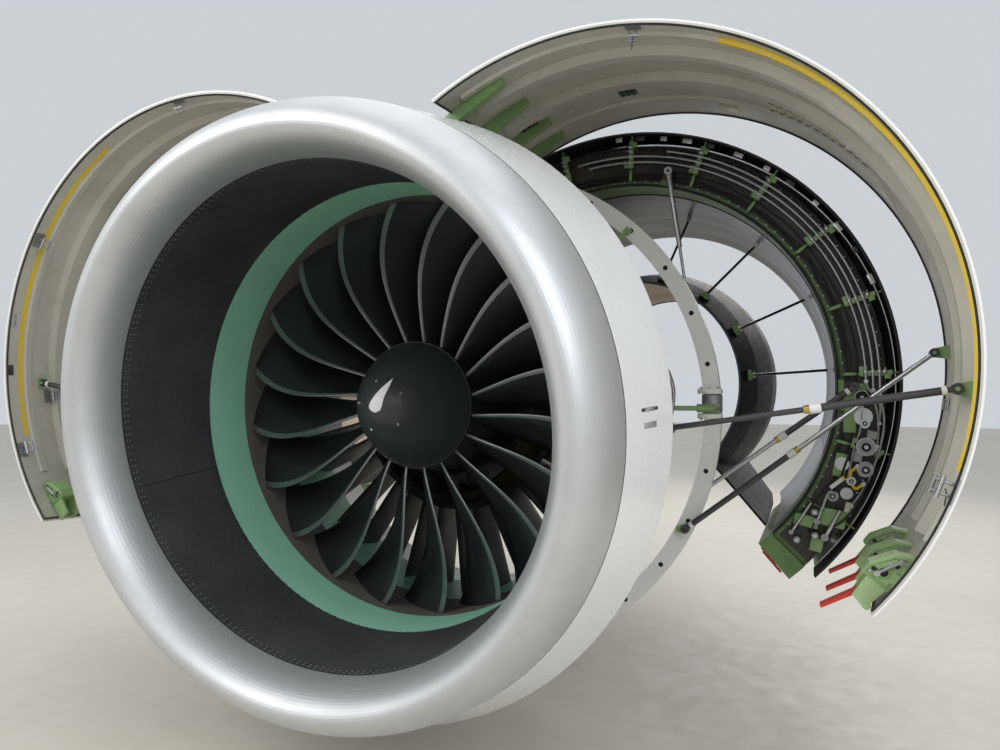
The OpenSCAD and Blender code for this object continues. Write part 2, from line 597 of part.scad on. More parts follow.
cowl_hinge_y = [620, 960, 1300, 1540];
tr_hinge_y = [1800, 2200, 2600, 2900];
lug_t = 14;
module hinge_lugs(x, z, ys, reach) for (y = ys) {
    for (s = [-1, 1]) translate([0, y + s * (hinge_w / 2 + side_gap + lug_t / 2), 0]) plate(0, lug_t)
        union() {
            translate([reach, z - 26]) square([x - reach, 52]);
            translate([x, z]) circle(r = 26, $fn = 48);
        }
    translate([x, y + hinge_w / 2 + side_gap + lug_t, z]) rotate([90, 0, 0])
        cylinder(r = hinge_pin_r, h = hinge_w + 2 * side_gap + 2 * lug_t, $fn = 48);
}
module pylon() color("whitesmoke") placed() {
    difference() {
        translate([-pylon_half, 0, 0]) rotate([90, 0, 90]) linear_extrude(2 * pylon_half)
            polygon([[585, flange_r + 28], [570, 1180], [600, 1300], [760, 1345], [1400, 1420],
                [2000, 1480], [3200, 1490], [3750, 1380], [3900, 1240], [3640, 1000],
                [3300, 780], [3000, 610], [1765, 640], [1745, flange_r + 28]]);
        translate([-pylon_half + 12, 1800, 700]) cube([2 * pylon_half - 24, 1150, 600]);
    }
    difference() {
        translate([-pylon_half, mount_y - mount_bolt_y / 2 - 70, 1470])
            cube([2 * pylon_half, mount_bolt_y + 140, mount_z - 1470]);
        for (sx = [-1, 1], sy = [-1, 1])
            translate([sx * mount_bolt_x / 2, mount_y + sy * mount_bolt_y / 2, 1500])
                cylinder(r = mount_hole_r, h = mount_z - 1499, $fn = 48);
    }
    // Front and back engine mounts
    translate([-90, 1770, fairing_r(1830) + seat]) cube([180, 60, 60]);
    translate([-40, 2962, core_in_r(3012) + core_t + seat]) cube([80, 50, 140]);
    for (left = [false, true]) mirrored(left) {
        hinge_lugs(cowl_hinge_x, cowl_hinge_z, cowl_hinge_y, pylon_half - 10);
        hinge_lugs(tr_hinge_x, tr_hinge_z, tr_hinge_y, pylon_half - 10);
    }
}

// White support ring, open at the top where the pylon passes
ring_top = 82;
module support_ring() color("white") placed() nacelle() {
    turned_arc(ring_top, -180 - ring_top) {
        difference() {
            translate([ring_in_r, ring_y]) square([ring_w, ring_t]);
            translate([ring_in_r + 8, ring_y + 6]) square([ring_w - 16, ring_t - 5]);
        }
    }
}

// Joint blocks at both sides, struts to the case, and the green brackets of the rods
back_rod_root = on_nacelle(-26.6, ring_in_r + 50);
tr_rod_root = on_nacelle(-17.9, ring_in_r + 50);
actuator_root = on_nacelle(27, ring_in_r + 50);
back_rod_y = 1558;
tr_rod_y = 1694;
module ring_bracket(p, y, len) {
    plate(y, len) translate(p) circle(r = 24, $fn = 48);
    plate(y, len) polygon([p + [-6, 22], p + [-46, 6], p + [-46, -22], p + [-6, -22]]);
}
module strut(phi, in_r, out_r) {
    rotate([0, -phi, 0]) {
        translate([in_r - 26, case_back_y + seat, -18]) cube([24, 16, 36]);
        translate([out_r, ring_y - 16 - seat, -18]) cube([34, 16, 36]);
        bar([in_r - 12, case_back_y + 14, 0], [out_r + 14, ring_y - 14, 0], 12);
    }
}
bracket_back_y = tr_rod_y - 14;
module ring_fittings() color("olivedrab") placed() {
    for (left = [false, true]) mirrored(left) {
        for (z = [-16, 16]) translate([ring_in_r - 34, ring_y - 20 - seat, z - nacelle_drop + 20])
            cube([ring_w + 30, 20, 12]);
        translate([ring_in_r - 10, ring_y - 46, -nacelle_drop + 16]) cube([ring_w - 20, 27, 20]);
        translate([flange_r - 28, case_back_y + seat, -nacelle_drop + 8]) cube([24, 20, 36]);
        bar([flange_r - 14, case_back_y + 16, -nacelle_drop + 26],
            [ring_in_r + 6, ring_y - 32, -nacelle_drop + 26], 13);
        strut(46, flange_r, ring_in_r - 22);
        // Plates that carry the ring's upper ends on the pylon
        translate([pylon_half + seat, ring_y - 16 - seat, 1236]) cube([58, 16, 64]);
        translate([0, ring_y - 13 - seat, 0]) ring_bracket(back_rod_root, 0, 26);
    }
    for (p = [tr_rod_root, actuator_root])
        ring_bracket(p, (ring_y + ring_t + seat + bracket_back_y) / 2, bracket_back_y - ring_y - ring_t - seat);
}

// Fan cowls

cowl_rib_y = [760, 1130];
cowl_edge_y = [560, 1470];
module cowl_skin(left) color("whitesmoke") cowl_half(left) nacelle()
    turned_arc(cowl_top, -cowl_bottom) {
        ys = steps(cowl_front_y, cowl_back_y, 10);
        polygon(concat([for (y = ys) [nacelle_r(y), y]],
            [for (y = turned_back(ys)) [cowl_in_r(y), y]]));
    }

module cowl_ribs(left) color("lightgray") cowl_half(left) nacelle()
    turned_arc(cowl_top - 4, -cowl_bottom + 13) {
        for (y0 = cowl_rib_y) {
            ys = [y0 - rib_w / 2, y0 - rib_w / 2 + 14, y0 + rib_w / 2 - 14, y0 + rib_w / 2];
            hs = [3, rib_h, rib_h, 3];
            polygon(concat([for (y = ys) [cowl_in_r(y) - seat, y]],
                [for (i = [3:-1:0]) [cowl_in_r(ys[i]) - seat - hs[i], ys[i]]]));
        }
        for (y0 = cowl_edge_y) {
            ys = [y0 - 26, y0 + 26];
            polygon([[cowl_in_r(ys[0]) - seat, ys[0]], [cowl_in_r(ys[1]) - seat, ys[1]],
                [cowl_in_r(ys[1]) - 14, ys[1] - 8], [cowl_in_r(ys[0]) - 14, ys[0] + 8]]);
        }
    }

module hinge_arm(hinge, y, top, r_in, down) difference() {
    plate(y, hinge_w) union() {
        translate(hinge) circle(r = 26, $fn = 48);
        polygon(concat([hinge + [4, 25]], [for (phi = steps(top - 0.3, top - 12, 5)) on_nacelle(phi, r_in)],
            [on_nacelle(top - 12, r_in - 30), on_nacelle(top - 4, r_in - down), hinge + [4, -25]]));
    }
    translate([hinge[0], y + hinge_w, hinge[1]]) rotate([90, 0, 0])
        cylinder(r = hinge_pin_r + pin_gap, h = 2 * hinge_w, $fn = 48);
}
module cowl_hinges(left) color("yellowgreen") cowl_half(left) {
    for (y = cowl_hinge_y) hinge_arm(cowl_hinge, y, cowl_top, cowl_in_r(y - hinge_w / 2) - 2 * seat, 54);
    if (left) cowl_lug(left_rod_phi, left_rod_eye, left_rod_y);
    else {
        cowl_lug(front_rod_phi, front_rod_eye, rod_y);
        cowl_lug(back_rod_phi, back_rod_eye, back_rod_y);
    }
}

latch_y = [560, 900, 1270];
latch_w = 84;
latch_pin_r = 7;
function latch_pin(y) = [30, -nacelle_drop - nacelle_r(y) + 40];
module cowl_latch_blocks(left) color("yellowgreen") cowl_half(left) for (y = latch_y) {
    r_in = cowl_in_r(y - latch_w / 2) - 2 * seat;
    p = latch_pin(y);
    low = -cowl_bottom + 3.5;
    plate(y, latch_w) polygon(concat([for (phi = steps(low, low + 6.5, 4)) on_nacelle(phi, r_in)],
        [on_nacelle(low + 5.5, r_in - 60), on_nacelle(low + 2, r_in - 110), on_nacelle(low, r_in - 110)]));
    for (s = [-1, 1]) translate([0, y + s * (latch_w / 2 - 6), 0]) plate(0, 12) union() {
        translate(p) circle(r = 15, $fn = 32);
        polygon([p + [-12, 8], p + [-6, 60], on_nacelle(low + 1, r_in - 90), on_nacelle(low + 1, r_in - 8),
            p + [12, -4]]);
    }
    translate([p[0], y + latch_w / 2, p[1]]) rotate([90, 0, 0])
        cylinder(r = latch_pin_r, h = latch_w, $fn = 32);
}

// A latch handle: an eye round the pin, a crank and a flat lever, shown let down
handle_w = latch_w - 24 - 2 * side_gap;
handle_open = 200;
module latch_handle(i) color("orangered") cowl_half(false) {
    y = latch_y[i];
    p = latch_pin(y);
    swung(p[0], p[1], -handle_open) difference() {
        plate(y, handle_w) union() {
            translate(p) circle(r = 15, $fn = 32);
            polygon([p + [-14, -4], p + [-14, -52], p + [0, -62], p + [148, -54], p + [148, -44],
                p + [2, -48], p + [4, -10]]);
        }
        translate([p[0], y + handle_w, p[1]]) rotate([90, 0, 0])
            cylinder(r = latch_pin_r + pin_gap, h = 2 * handle_w, $fn = 32);
    }
}

// Thrust reverser halves

frame_back_y = sleeve_front_y - 20;
web_y = tr_front_y + 34;
frame_in_r = duct_r_tr + 4;
frame_out_r = 1346;
module tr_frame(left) color("olivedrab") tr_half(left) {
    nacelle() turned_arc(tr_top, -tr_bottom) {
        translate([frame_in_r, web_y]) square([frame_out_r - frame_in_r, 8]);
        translate([frame_in_r, frame_back_y - 8]) square([frame_out_r - frame_in_r, 8]);
        translate([frame_in_r, tr_front_y]) square([14, frame_back_y - tr_front_y]);
        translate([frame_out_r - 10, tr_front_y + 20]) square([10, frame_back_y - tr_front_y - 20]);
    }
    nacelle() for (phi = [tr_top - 8:-17:-tr_bottom + 6]) rotate([0, -phi, 0])
        translate([frame_in_r + 6, tr_front_y + 10, -4]) cube([nacelle_r(tr_front_y) - 17 - frame_in_r - 6, 24.5, 8]);
    // Hinge beam along the upper edge and latch beam along the lower one
    nacelle() for (band = [[tr_top + 3.2, tr_top], [-tr_bottom, -tr_bottom - 4.4]])
        turned_arc(band[0], band[1]) polygon([[frame_in_r, tr_front_y], [frame_out_r, tr_front_y],
            [frame_out_r, 2300], [beam_r(2960), 2960], [frame_in_r, 2960]]);
    for (y = tr_hinge_y) tr_hinge_arm(y);
    if (!left) for (e = [[tr_rod_phi, tr_rod_eye], [actuator_phi, actuator_eye]]) tr_lug(e[0], e[1]);
}
function beam_r(y) = min(frame_out_r, nacelle_r(y) - 26);
module tr_hinge_arm(y) difference() {
    plate(y, hinge_w) union() {
        translate(tr_hinge) circle(r = 26, $fn = 48);
        polygon([tr_hinge + [0, 25], on_nacelle(tr_top + 3, beam_r(y) - 4), on_nacelle(tr_top + 0.6, beam_r(y) - 4),
            on_nacelle(tr_top + 0.6, frame_in_r + 60), on_nacelle(tr_top + 3.2, frame_in_r + 60),
            tr_hinge + [0, -25]]);
    }
    translate([tr_hinge[0], y + hinge_w, tr_hinge[1]]) rotate([90, 0, 0])
        cylinder(r = hinge_pin_r + pin_gap, h = 2 * hinge_w, $fn = 48);
}
// Lugs in front of the frame for the hold-open rod and the opening actuator
module tr_lug(phi, p) rod_lug(p, tr_rod_y + rod_r + 1, web_y + 2, on_nacelle(phi, frame_in_r + 8), 34);

module tr_fairing(left) color("#1f2022") tr_half(left) nacelle() turned_arc(tr_top, -tr_bottom) {
    ys = [tr_front_y, frame_back_y];
    polygon([[nacelle_r(ys[0]) - 2, ys[0]], [nacelle_r(ys[1]), ys[1]], [nacelle_r(ys[1]) - 14, ys[1]],
        [nacelle_r(ys[0]) - 14, ys[0]]]);
}

cascade_y = frame_back_y + seat;
cascade_len = 420;
cascade_in_r = 1200;
cascade_h = 100;
module cascades(left) color("darkslategray") tr_half(left) nacelle() {
    turned_arc(tr_top - 2, -tr_bottom + 2) for (i = [0:8]) {
        y = cascade_y + i * (cascade_len - 14) / 8;
        polygon([[cascade_in_r, y + 14], [cascade_in_r + cascade_h, y],
            [cascade_in_r + cascade_h, y + 8], [cascade_in_r, y + 22 - (i == 8 ? 8 : 0)]]);
    }
    for (phi = steps(tr_top - 2.5, -tr_bottom + 2.5, 14)) rotate([0, -phi, 0])
        translate([cascade_in_r, cascade_y, -4]) cube([cascade_h, cascade_len, 8]);
}

wall_in_x = 208;
lower_wall_x = 66;
module inner_structure(left) color("#17181a") tr_half(left) {
    nacelle() turned_arc(72, -tr_bottom - 1) {
        ys = [ifs_front_y, 2200, 2350, 2550, 2750, 2900, 3050, 3180, 3300, ifs_back_y];
        polygon(concat([for (y = ys) [ifs_r(y), y]],
            [for (y = turned_back(ys)) [ifs_r(y) - ifs_t, y]]));
    }
    // Upper and lower walls that bridge the bypass duct beside the pylon and the latch line
    wall_profile(wall_in_x, 1);
    wall_profile(lower_wall_x, -1);
}
function wall_edge(x, up, r) = up * sqrt(r * r - x * x) - nacelle_drop;
module wall_profile(x, up) translate([x, 0, 0]) rotate([90, 0, 90]) linear_extrude(14)
    polygon([[ifs_front_y, wall_edge(x, up, ifs_r(ifs_front_y) - 10)],
        [ifs_front_y + 120, wall_edge(x, up, duct_r_tr - 8)], [2950, wall_edge(x, up, duct_r_tr - 22)],
        [3250, wall_edge(x, up, duct_r_tr - 60)], [3380, wall_edge(x, up, ifs_r(3300) - 6)],
        [3050, wall_edge(x, up, ifs_r(3050) - 10)], [2750, wall_edge(x, up, ifs_r(2750) - 10)],
        [2350, wall_edge(x, up, ifs_r(2350) - 10)]]);

tr_latch_y = [1790, 2080, 2370, 2660, 2900];
module tr_latches() color("orangered") tr_half(false) nacelle() for (y = tr_latch_y)
    rotate([0, tr_bottom + 4.4, 0]) translate([frame_in_r + 30, y - 20, 0]) {
        translate([0, 0, -12 - seat]) cube([110, 40, 12]);
        translate([20, 12, -22 - seat]) cube([136, 16, 10.2]);
    }

tube_r = 7;
tube_y = tr_front_y + 2;
module tr_tubes() color("lightgray") tr_half(false) nacelle() {
    for (t = [[1252, 60, -38], [1285, 62.7, -40], [1316, 40, -41]]) {
        turned_arc(t[1], t[2]) translate([t[0], tube_y]) circle(r = tube_r);
        for (phi = [t[1] - 0.2, t[2] + 0.2]) rotate([0, -phi, 0]) translate([t[0], tube_y, 0])
            rotate([-90, 0, 0]) cylinder(r = tube_r + 2, h = web_y - tube_y - seat, $fn = 24);
    }
    for (t = [[1250, -46, 44], [1210, -58, 34], [1286, -64, 30]])
        rotate([0, -t[1], 0]) translate([t[0], web_y - 40 - seat, 0]) rotate([-90, 0, 0])
            cylinder(r = t[2], h = 40, $fn = 32);
}

link_phi = [38, 14, -10, -34];
module drag_links() color("silver") tr_half(false) nacelle() for (phi = link_phi) rotate([0, -phi, 0]) {
    y0 = 2180;
    y1 = 2520;
    bar([ifs_r(y0) + 26, y0, 0], [duct_r_tr - 22, y1, 0], 8);
    translate([ifs_r(y0 + 22) + seat, y0 - 22, -14]) cube([30, 44, 28]);
    translate([duct_r_tr - 30, y1 - 20, -12]) cube([29, 40, 24]);
}

module sleeve(left) color("white") tr_half(left) nacelle()
    turned_arc(tr_top - 0.3, -tr_bottom + 0.3) {
        ys = [sleeve_front_y, 2100, 2300, 2500, 2700, 2850, 3000, 3150, sleeve_back_y];
        polygon(concat([for (y = ys) [nacelle_r(y), y]],
            [for (y = turned_back(ys)) [max(nacelle_r(y) - 16, 0), y]]));
    }
module duct_wall(left) color("slategray") tr_half(left) nacelle()
    turned_arc(tr_top - 0.3, -tr_bottom + 0.3) {
        ys = [sleeve_front_y, 2650, 2825, 3000, 3150];
        polygon(concat([for (y = ys) [duct_wall_r(y), y]], [[sleeve_back_r - 20, sleeve_back_y - 4],
            [nacelle_r(3150) - 16 - seat, 3150], [nacelle_r(3000) - 16 - seat, 3000],
            [nacelle_r(3000) - 30, 3000], [duct_wall_r(3000) + 26, 2990],
            [duct_wall_r(2650) + 26, 2650], [duct_wall_r(sleeve_front_y) + 26, sleeve_front_y]]));
    }

// Hold-open rods and the opening actuator, all on the right but one

module rod_between(p, q, y, thin) {
    a = [p[0], y, p[1]];
    b = [q[0], y, q[1]];
    d = (b - a) / norm(b - a);
    bar(a + d * 20, b - d * 16, thin);
    bar(a + d * 40, a + d * norm(b - a) * 0.45, rod_r);
    for (e = [a, b]) translate([e[0], y + 9, e[2]]) rotate([90, 0, 0]) difference() {
        cylinder(r = 22, h = 18, $fn = 48);
        translate([0, 0, -1]) cylinder(r = rod_pin_r + pin_gap, h = 20, $fn = 32);
    }
}
// A lug from y0 to y1 that carries the pin of a rod's end
module rod_lug(p, y0, y1, toward, half) {
    d = (toward - p) / norm(toward - p);
    n = [-d[1], d[0]];
    plate((y0 + y1) / 2, y1 - y0) union() {
        translate(p) circle(r = 22, $fn = 32);
        polygon([p + n * 21, toward + n * half, toward - n * half, p - n * 21]);
    }
    translate([p[0], y0 + 1, p[1]]) rotate([90, 0, 0]) cylinder(r = rod_pin_r, h = rod_r + 14, $fn = 32);
}
lug_half = 34;
module cowl_lug(phi, p, y) rod_lug(p, y + 11, y + 19,
    on_nacelle(phi, sqrt(pow(cowl_in_r(y + 11) - 2 * seat, 2) - lug_half * lug_half)), lug_half);

front_rod_phi = -51.6;
back_rod_phi = -44.5;
left_rod_phi = -53;
tr_rod_phi = -39;
actuator_phi = 38.3;
front_rod_eye = on_nacelle(front_rod_phi, cowl_in_r(rod_y) - 58);
back_rod_eye = on_nacelle(back_rod_phi, cowl_in_r(back_rod_y) - 70);
left_rod_eye = on_nacelle(left_rod_phi, cowl_in_r(left_rod_y) - 58);
tr_rod_eye = on_nacelle(tr_rod_phi, frame_in_r + 84);
actuator_eye = on_nacelle(actuator_phi, frame_in_r + 84);

module cowl_front_rod() color("dimgray") placed() rod_between(
    swing(front_rod_eye, cowl_hinge, right_open), front_rod_root, rod_y, 11);
module cowl_back_rod() color("dimgray") placed() rod_between(back_rod_root,
    swing(back_rod_eye, cowl_hinge, right_open), back_rod_y, 11);
module left_cowl_rod() color("dimgray") placed() mirrored(true) rod_between(
    swing(left_rod_eye, cowl_hinge, left_open), front_rod_root, left_rod_y, 11);
module tr_hold_rod() color("dimgray") placed() rod_between(
    swing(tr_rod_eye, tr_hinge, tr_open), tr_rod_root, tr_rod_y, 11);

actuator_end = swing(actuator_eye, tr_hinge, tr_open);
actuator_dir = (actuator_root - actuator_end) / norm(actuator_root - actuator_end);
actuator_len = norm(actuator_root - actuator_end);
module actuator_eye_at(p) translate([p[0], tr_rod_y + 9, p[1]]) rotate([90, 0, 0]) difference() {
    cylinder(r = 22, h = 18, $fn = 48);
    translate([0, 0, -1]) cylinder(r = rod_pin_r + pin_gap, h = 20, $fn = 32);
}
function along(d) = let (p = actuator_end + actuator_dir * d) [p[0], tr_rod_y, p[1]];
module tr_actuator_body() color("silver") placed() {
    actuator_eye_at(actuator_end);
    difference() {
        bar(along(18), along(actuator_len * 0.6), 13);
        bar(along(60), along(actuator_len * 0.7), 8.4);
    }
}
module tr_actuator_rod() color("gainsboro") placed() {
    actuator_eye_at(actuator_root);
    bar(along(actuator_len * 0.48), along(actuator_len - 18), 8);
}

inlet_lip();
inlet_outer_barrel();
inlet_acoustic_liner();
inlet_bulkheads();
fan_case();
fan_case_liner();
rub_strip();
foil_blanket();
case_fittings();
exit_guide_vanes();
core_inlet();
core_case();
exhaust_nozzle();
exhaust_plug();
accessory_gearbox();
shaft_bearings();
reduction_gearbox();
pylon();
support_ring();
ring_fittings();
spinner();
fan_hub();
fan_blades();
low_shaft();
low_compressor();
low_turbine();
high_compressor();
high_turbine();
cowl_skin(false);  // right_cowl_skin
cowl_ribs(false);  // right_cowl_ribs
cowl_hinges(false);  // right_cowl_hinges
cowl_latch_blocks(false);  // right_cowl_latch_blocks
cowl_skin(true);  // left_cowl_skin
cowl_ribs(true);  // left_cowl_ribs
cowl_hinges(true);  // left_cowl_hinges
cowl_latch_blocks(true);  // left_cowl_keepers
latch_handle(0);  // latch_handle_1
latch_handle(1);  // latch_handle_2
latch_handle(2);  // latch_handle_3
tr_frame(false);  // right_tr_frame
tr_fairing(false);  // right_tr_fairing
cascades(false);  // right_cascades
inner_structure(false);  // right_inner_structure
tr_latches();  // right_tr_latches
tr_tubes();  // right_tr_tubes
drag_links();  // right_drag_links
sleeve(false);  // right_sleeve
duct_wall(false);  // right_duct_wall
tr_frame(true);  // left_tr_frame
tr_fairing(true);  // left_tr_fairing
cascades(true);  // left_cascades
inner_structure(true);  // left_inner_structure
sleeve(true);  // left_sleeve
duct_wall(true);  // left_duct_wall
cowl_front_rod();
cowl_back_rod();
left_cowl_rod();
tr_hold_rod();
tr_actuator_body();
tr_actuator_rod();
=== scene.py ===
"""Looks of the turbofan engine with open nacelle: finishes, skins, fan blades, fasteners and stage."""

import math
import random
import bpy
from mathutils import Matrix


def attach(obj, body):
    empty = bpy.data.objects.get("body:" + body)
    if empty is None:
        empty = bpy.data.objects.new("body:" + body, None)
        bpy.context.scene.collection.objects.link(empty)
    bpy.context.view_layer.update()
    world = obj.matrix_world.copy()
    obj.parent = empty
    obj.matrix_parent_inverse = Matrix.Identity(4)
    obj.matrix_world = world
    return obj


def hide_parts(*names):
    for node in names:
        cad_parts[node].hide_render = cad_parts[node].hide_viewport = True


bl_info = {
    "name": "Turbofan engine looks",
    "version": (1, 0, 0),
    "blender": (4, 2, 0),
    "location": "View3D > Sidebar > Engine",
    "description": "Dresses the packed turbofan engine with skins, blades, fasteners, wear and a stage",
    "category": "Object",
}

import bpy
import numpy as np
from bpy.props import FloatProperty, FloatVectorProperty, IntProperty, PointerProperty
from mathutils import Vector

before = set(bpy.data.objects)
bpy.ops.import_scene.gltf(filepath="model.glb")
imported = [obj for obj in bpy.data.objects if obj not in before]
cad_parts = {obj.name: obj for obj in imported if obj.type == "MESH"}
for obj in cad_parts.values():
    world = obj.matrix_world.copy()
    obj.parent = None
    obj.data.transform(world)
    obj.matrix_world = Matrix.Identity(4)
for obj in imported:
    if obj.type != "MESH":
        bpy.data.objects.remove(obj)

TAU = 2 * math.pi

# Lengths are metres and angles degrees. In the engine frame the axis runs along Y, aft is positive, and the
# lip joint is near y = 0. The row frame's origin is the pylon's bolted face, this far aft and above.
MOUNT_Y = 2.3
MOUNT_Z = 1.56
DROP = 0.050
DROOP = math.radians(5.2)
CASE_Y = 0.547
CASE_OUT_R = 1.0703
FLANGE_R = 1.1043
LIP_OUTER_R = 1.268
LIP_CROWN_R = 1.130
LIP_FRONT_Y = -0.210
LIP_ARC = 70

RING_Y = 1.602
RING_R = 1.396
RING_IN_R = 1.308

RIGHT_OPEN = 47.0
LEFT_OPEN = 48.5
TR_OPEN = 38.5
COWL_HINGE = (0.240, 1.260)
TR_HINGE = (0.200, 1.220)
COWL_FRONT_Y = 0.420
COWL_BACK_Y = 1.722
COWL_T = 0.016
NACELLE_R = 1.422
NACELLE_FRONT_R = 1.358
NACELLE_BACK_R = 1.200
FLARE_Y = 1.5
TAPER_Y = 1.7
TAPER_LENGTH = 1.6
TR_FRONT_Y = 1.740
WEB_Y = 1.774
# Radius of the inner structure along the engine: (y, radius)
INNER_STRUCTURE = ((2.052, 0.622), (2.35, 0.690), (2.75, 0.752), (3.05, 0.758), (3.3, 0.706), (3.48, 0.648))

COWLS = ("right_cowl", "left_cowl")
REVERSERS = ("right_reverser", "left_reverser")
FORWARD = Vector((0, -1, 0))
AFT = Vector((0, 1, 0))


# Places and meshes

def row(p):
    """Engine frame to row frame."""
    return Vector((p[0], p[1] - MOUNT_Y, p[2] - MOUNT_Z))


def nacelle_r(y):
    """Outside radius of the closed nacelle: flared in front, straight, then tapered."""
    if y < FLARE_Y:
        return NACELLE_R - (NACELLE_R - NACELLE_FRONT_R) * ((FLARE_Y - y) / (FLARE_Y - COWL_FRONT_Y)) ** 2
    return NACELLE_R - (NACELLE_R - NACELLE_BACK_R) * (max(0.0, y - TAPER_Y) / TAPER_LENGTH) ** 2


def cowl_in_r(y):
    return nacelle_r(y) - COWL_T


def lookup(y, table):
    """The value at y on straight lines between the table's points."""
    for (a, va), (b, vb) in zip(table, table[1:]):
        if y <= b:
            k = max(0.0, (y - a) / (b - a))
            return va + (vb - va) * k
    return table[-1][1]


def swing(x, z, hinge, degrees):
    """The point turned about the hinge line."""
    a = math.radians(degrees)
    dx, dz = x - hinge[0], z - hinge[1]
    return hinge[0] + dx * math.cos(a) - dz * math.sin(a), hinge[1] + dx * math.sin(a) + dz * math.cos(a)


def closed_point(phi, r, y):
    """A point of the closed nacelle, on the right side."""
    a = math.radians(phi)
    return r * math.cos(a), y, r * math.sin(a) - DROP


def open_angle(panel):
    if panel.endswith("cowl"):
        return RIGHT_OPEN if panel.startswith("right") else LEFT_OPEN
    return TR_OPEN


def panel_point(panel, phi, r, y):
    """A point given on the closed nacelle, carried to where the open panel holds it, in the row frame."""
    x, yy, z = closed_point(phi, r, y)
    x, z = swing(x, z, COWL_HINGE if panel.endswith("cowl") else TR_HINGE, open_angle(panel))
    if panel.startswith("left"):
        x = -x
    return row((x, yy, z))


def panel_centre(panel):
    return panel_point(panel, 0.0, 0.0, 0.0)


def panel_out(panel, phi):
    """Unit vector outward at the angle on the open panel."""
    return panel_point(panel, phi, 1.0, 0.0) - panel_point(panel, phi, 0.0, 0.0)


def across_panel(panel, phi):
    """Outward and along the circumference at the angle on the open panel."""
    out = panel_out(panel, phi)
    return out, AFT.cross(out)


def droop_point(r, phi, y):
    """A point of the drooped inlet: radius, angle and distance behind the lip joint."""
    a = math.radians(phi)
    z, dy = r * math.sin(a), y - CASE_Y
    return row((r * math.cos(a), CASE_Y + dy * math.cos(DROOP) - z * math.sin(DROOP),
                dy * math.sin(DROOP) + z * math.cos(DROOP)))


def axis_point(r, phi, y):
    """A point about the engine's axis."""
    a = math.radians(phi)
    return row((r * math.cos(a), y, r * math.sin(a)))


def link_mesh(name, verts, faces, smooth=True):
    """A new object in the scene, from points and faces."""
    mesh = bpy.data.meshes.new(name)
    mesh.from_pydata([tuple(v) for v in verts], [], faces)
    if faces:
        mesh.validate()
        mesh.update()
    for polygon in mesh.polygons:
        polygon.use_smooth = smooth
    obj = bpy.data.objects.new(name, mesh)
    bpy.context.scene.collection.objects.link(obj)
    return obj


def new_object(name, verts, faces, finish, body, smooth=True, replaces=()):
    obj = link_mesh(name, verts, faces, smooth)
    obj.data.materials.append(mat(finish))
    settle(obj, body, replaces)
    return obj


def settle(obj, body, replaces=()):
    """Says which body carries the object and what it replaces."""
    if body:
        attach(obj, body)
    if replaces:
        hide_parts(*replaces)


def grid_faces(rows, cols, closed=False):
    """Quads between rows of points, with each row a loop where it is closed."""
    faces = []
    for i in range(rows - 1):
        for k in range(cols if closed else cols - 1):
            a, b = i * cols + k, i * cols + (k + 1) % cols
            faces.append((a, b, b + cols, a + cols))
    return faces


def shaded_by_angle(obj, degrees=35):
    """Sharp edges where faces meet at more than the angle."""
    mesh = obj.data
    mesh.update()
    normals = {}
    limit = math.cos(math.radians(degrees))
    for polygon in mesh.polygons:
        for key in polygon.edge_keys:
            normals.setdefault(key, []).append(polygon.normal.copy())
    sharp = {key for key, n in normals.items() if len(n) == 2 and n[0].dot(n[1]) < limit}
    for edge in mesh.edges:
        if tuple(sorted(edge.vertices)) in sharp:
            edge.use_edge_sharp = True


class Parts:
    """Boxes, bars and tubes gathered into one mesh."""

    def __init__(self):
        self.verts, self.faces = [], []

    def add(self, verts, faces):
        base = len(self.verts)
        self.verts += [Vector(v) for v in verts]
        self.faces += [tuple(base + i for i in face) for face in faces]

    def box(self, centre, size, x_axis=Vector((1, 0, 0)), y_axis=Vector((0, 1, 0)), bevel=0.12):
        """A box with chamfered ends along its third axis."""
        x_axis, y_axis = Vector(x_axis).normalized(), Vector(y_axis).normalized()
        z_axis = x_axis.cross(y_axis).normalized()
        c = Vector(centre)
        hx, hy, hz = (s / 2 for s in size)
        b = min(hx, hy, hz) * bevel * 2
        loops = []
        for z, cut in ((-hz, b), (-hz + b, 0), (hz - b, 0), (hz, b)):
            for x, y in ((-1, -1), (1, -1), (1, 1), (-1, 1)):
                loops.append(c + x_axis * x * (hx - cut) + y_axis * y * (hy - cut) + z_axis * z)
        self.add(loops, grid_faces(4, 4, closed=True) + [(3, 2, 1, 0), (12, 13, 14, 15)])

    def bar(self, a, b, radius, sides=12):
        self.tube([a, b], radius, sides)

    def tube(self, path, radius, sides=10):
        """A round tube along a path of points."""
        path = [Vector(p) for p in path]
        u, rings = None, []
        for i, p in enumerate(path):
            d = (path[min(i + 1, len(path) - 1)] - path[max(i - 1, 0)]).normalized()
            u = d.orthogonal().normalized() if u is None else u
            u = (u - d * u.dot(d)).normalized()
            v = d.cross(u)
            for k in range(sides):
                t = TAU * k / sides
                rings.append(p + (u * math.cos(t) + v * math.sin(t)) * radius)
        first, last = range(sides - 1, -1, -1), range((len(path) - 1) * sides, len(path) * sides)
        self.add(rings, grid_faces(len(path), sides, closed=True) + [tuple(first), tuple(last)])

    def build(self, name, finish, body):
        shaded_by_angle(new_object(name, self.verts, self.faces, finish, body))


def build_sets(sets, prefix, body):
    """Makes one piece for each finish that has parts."""
    for finish, parts in sets.items():
        if parts.verts:
            parts.build(prefix + finish, finish, body)


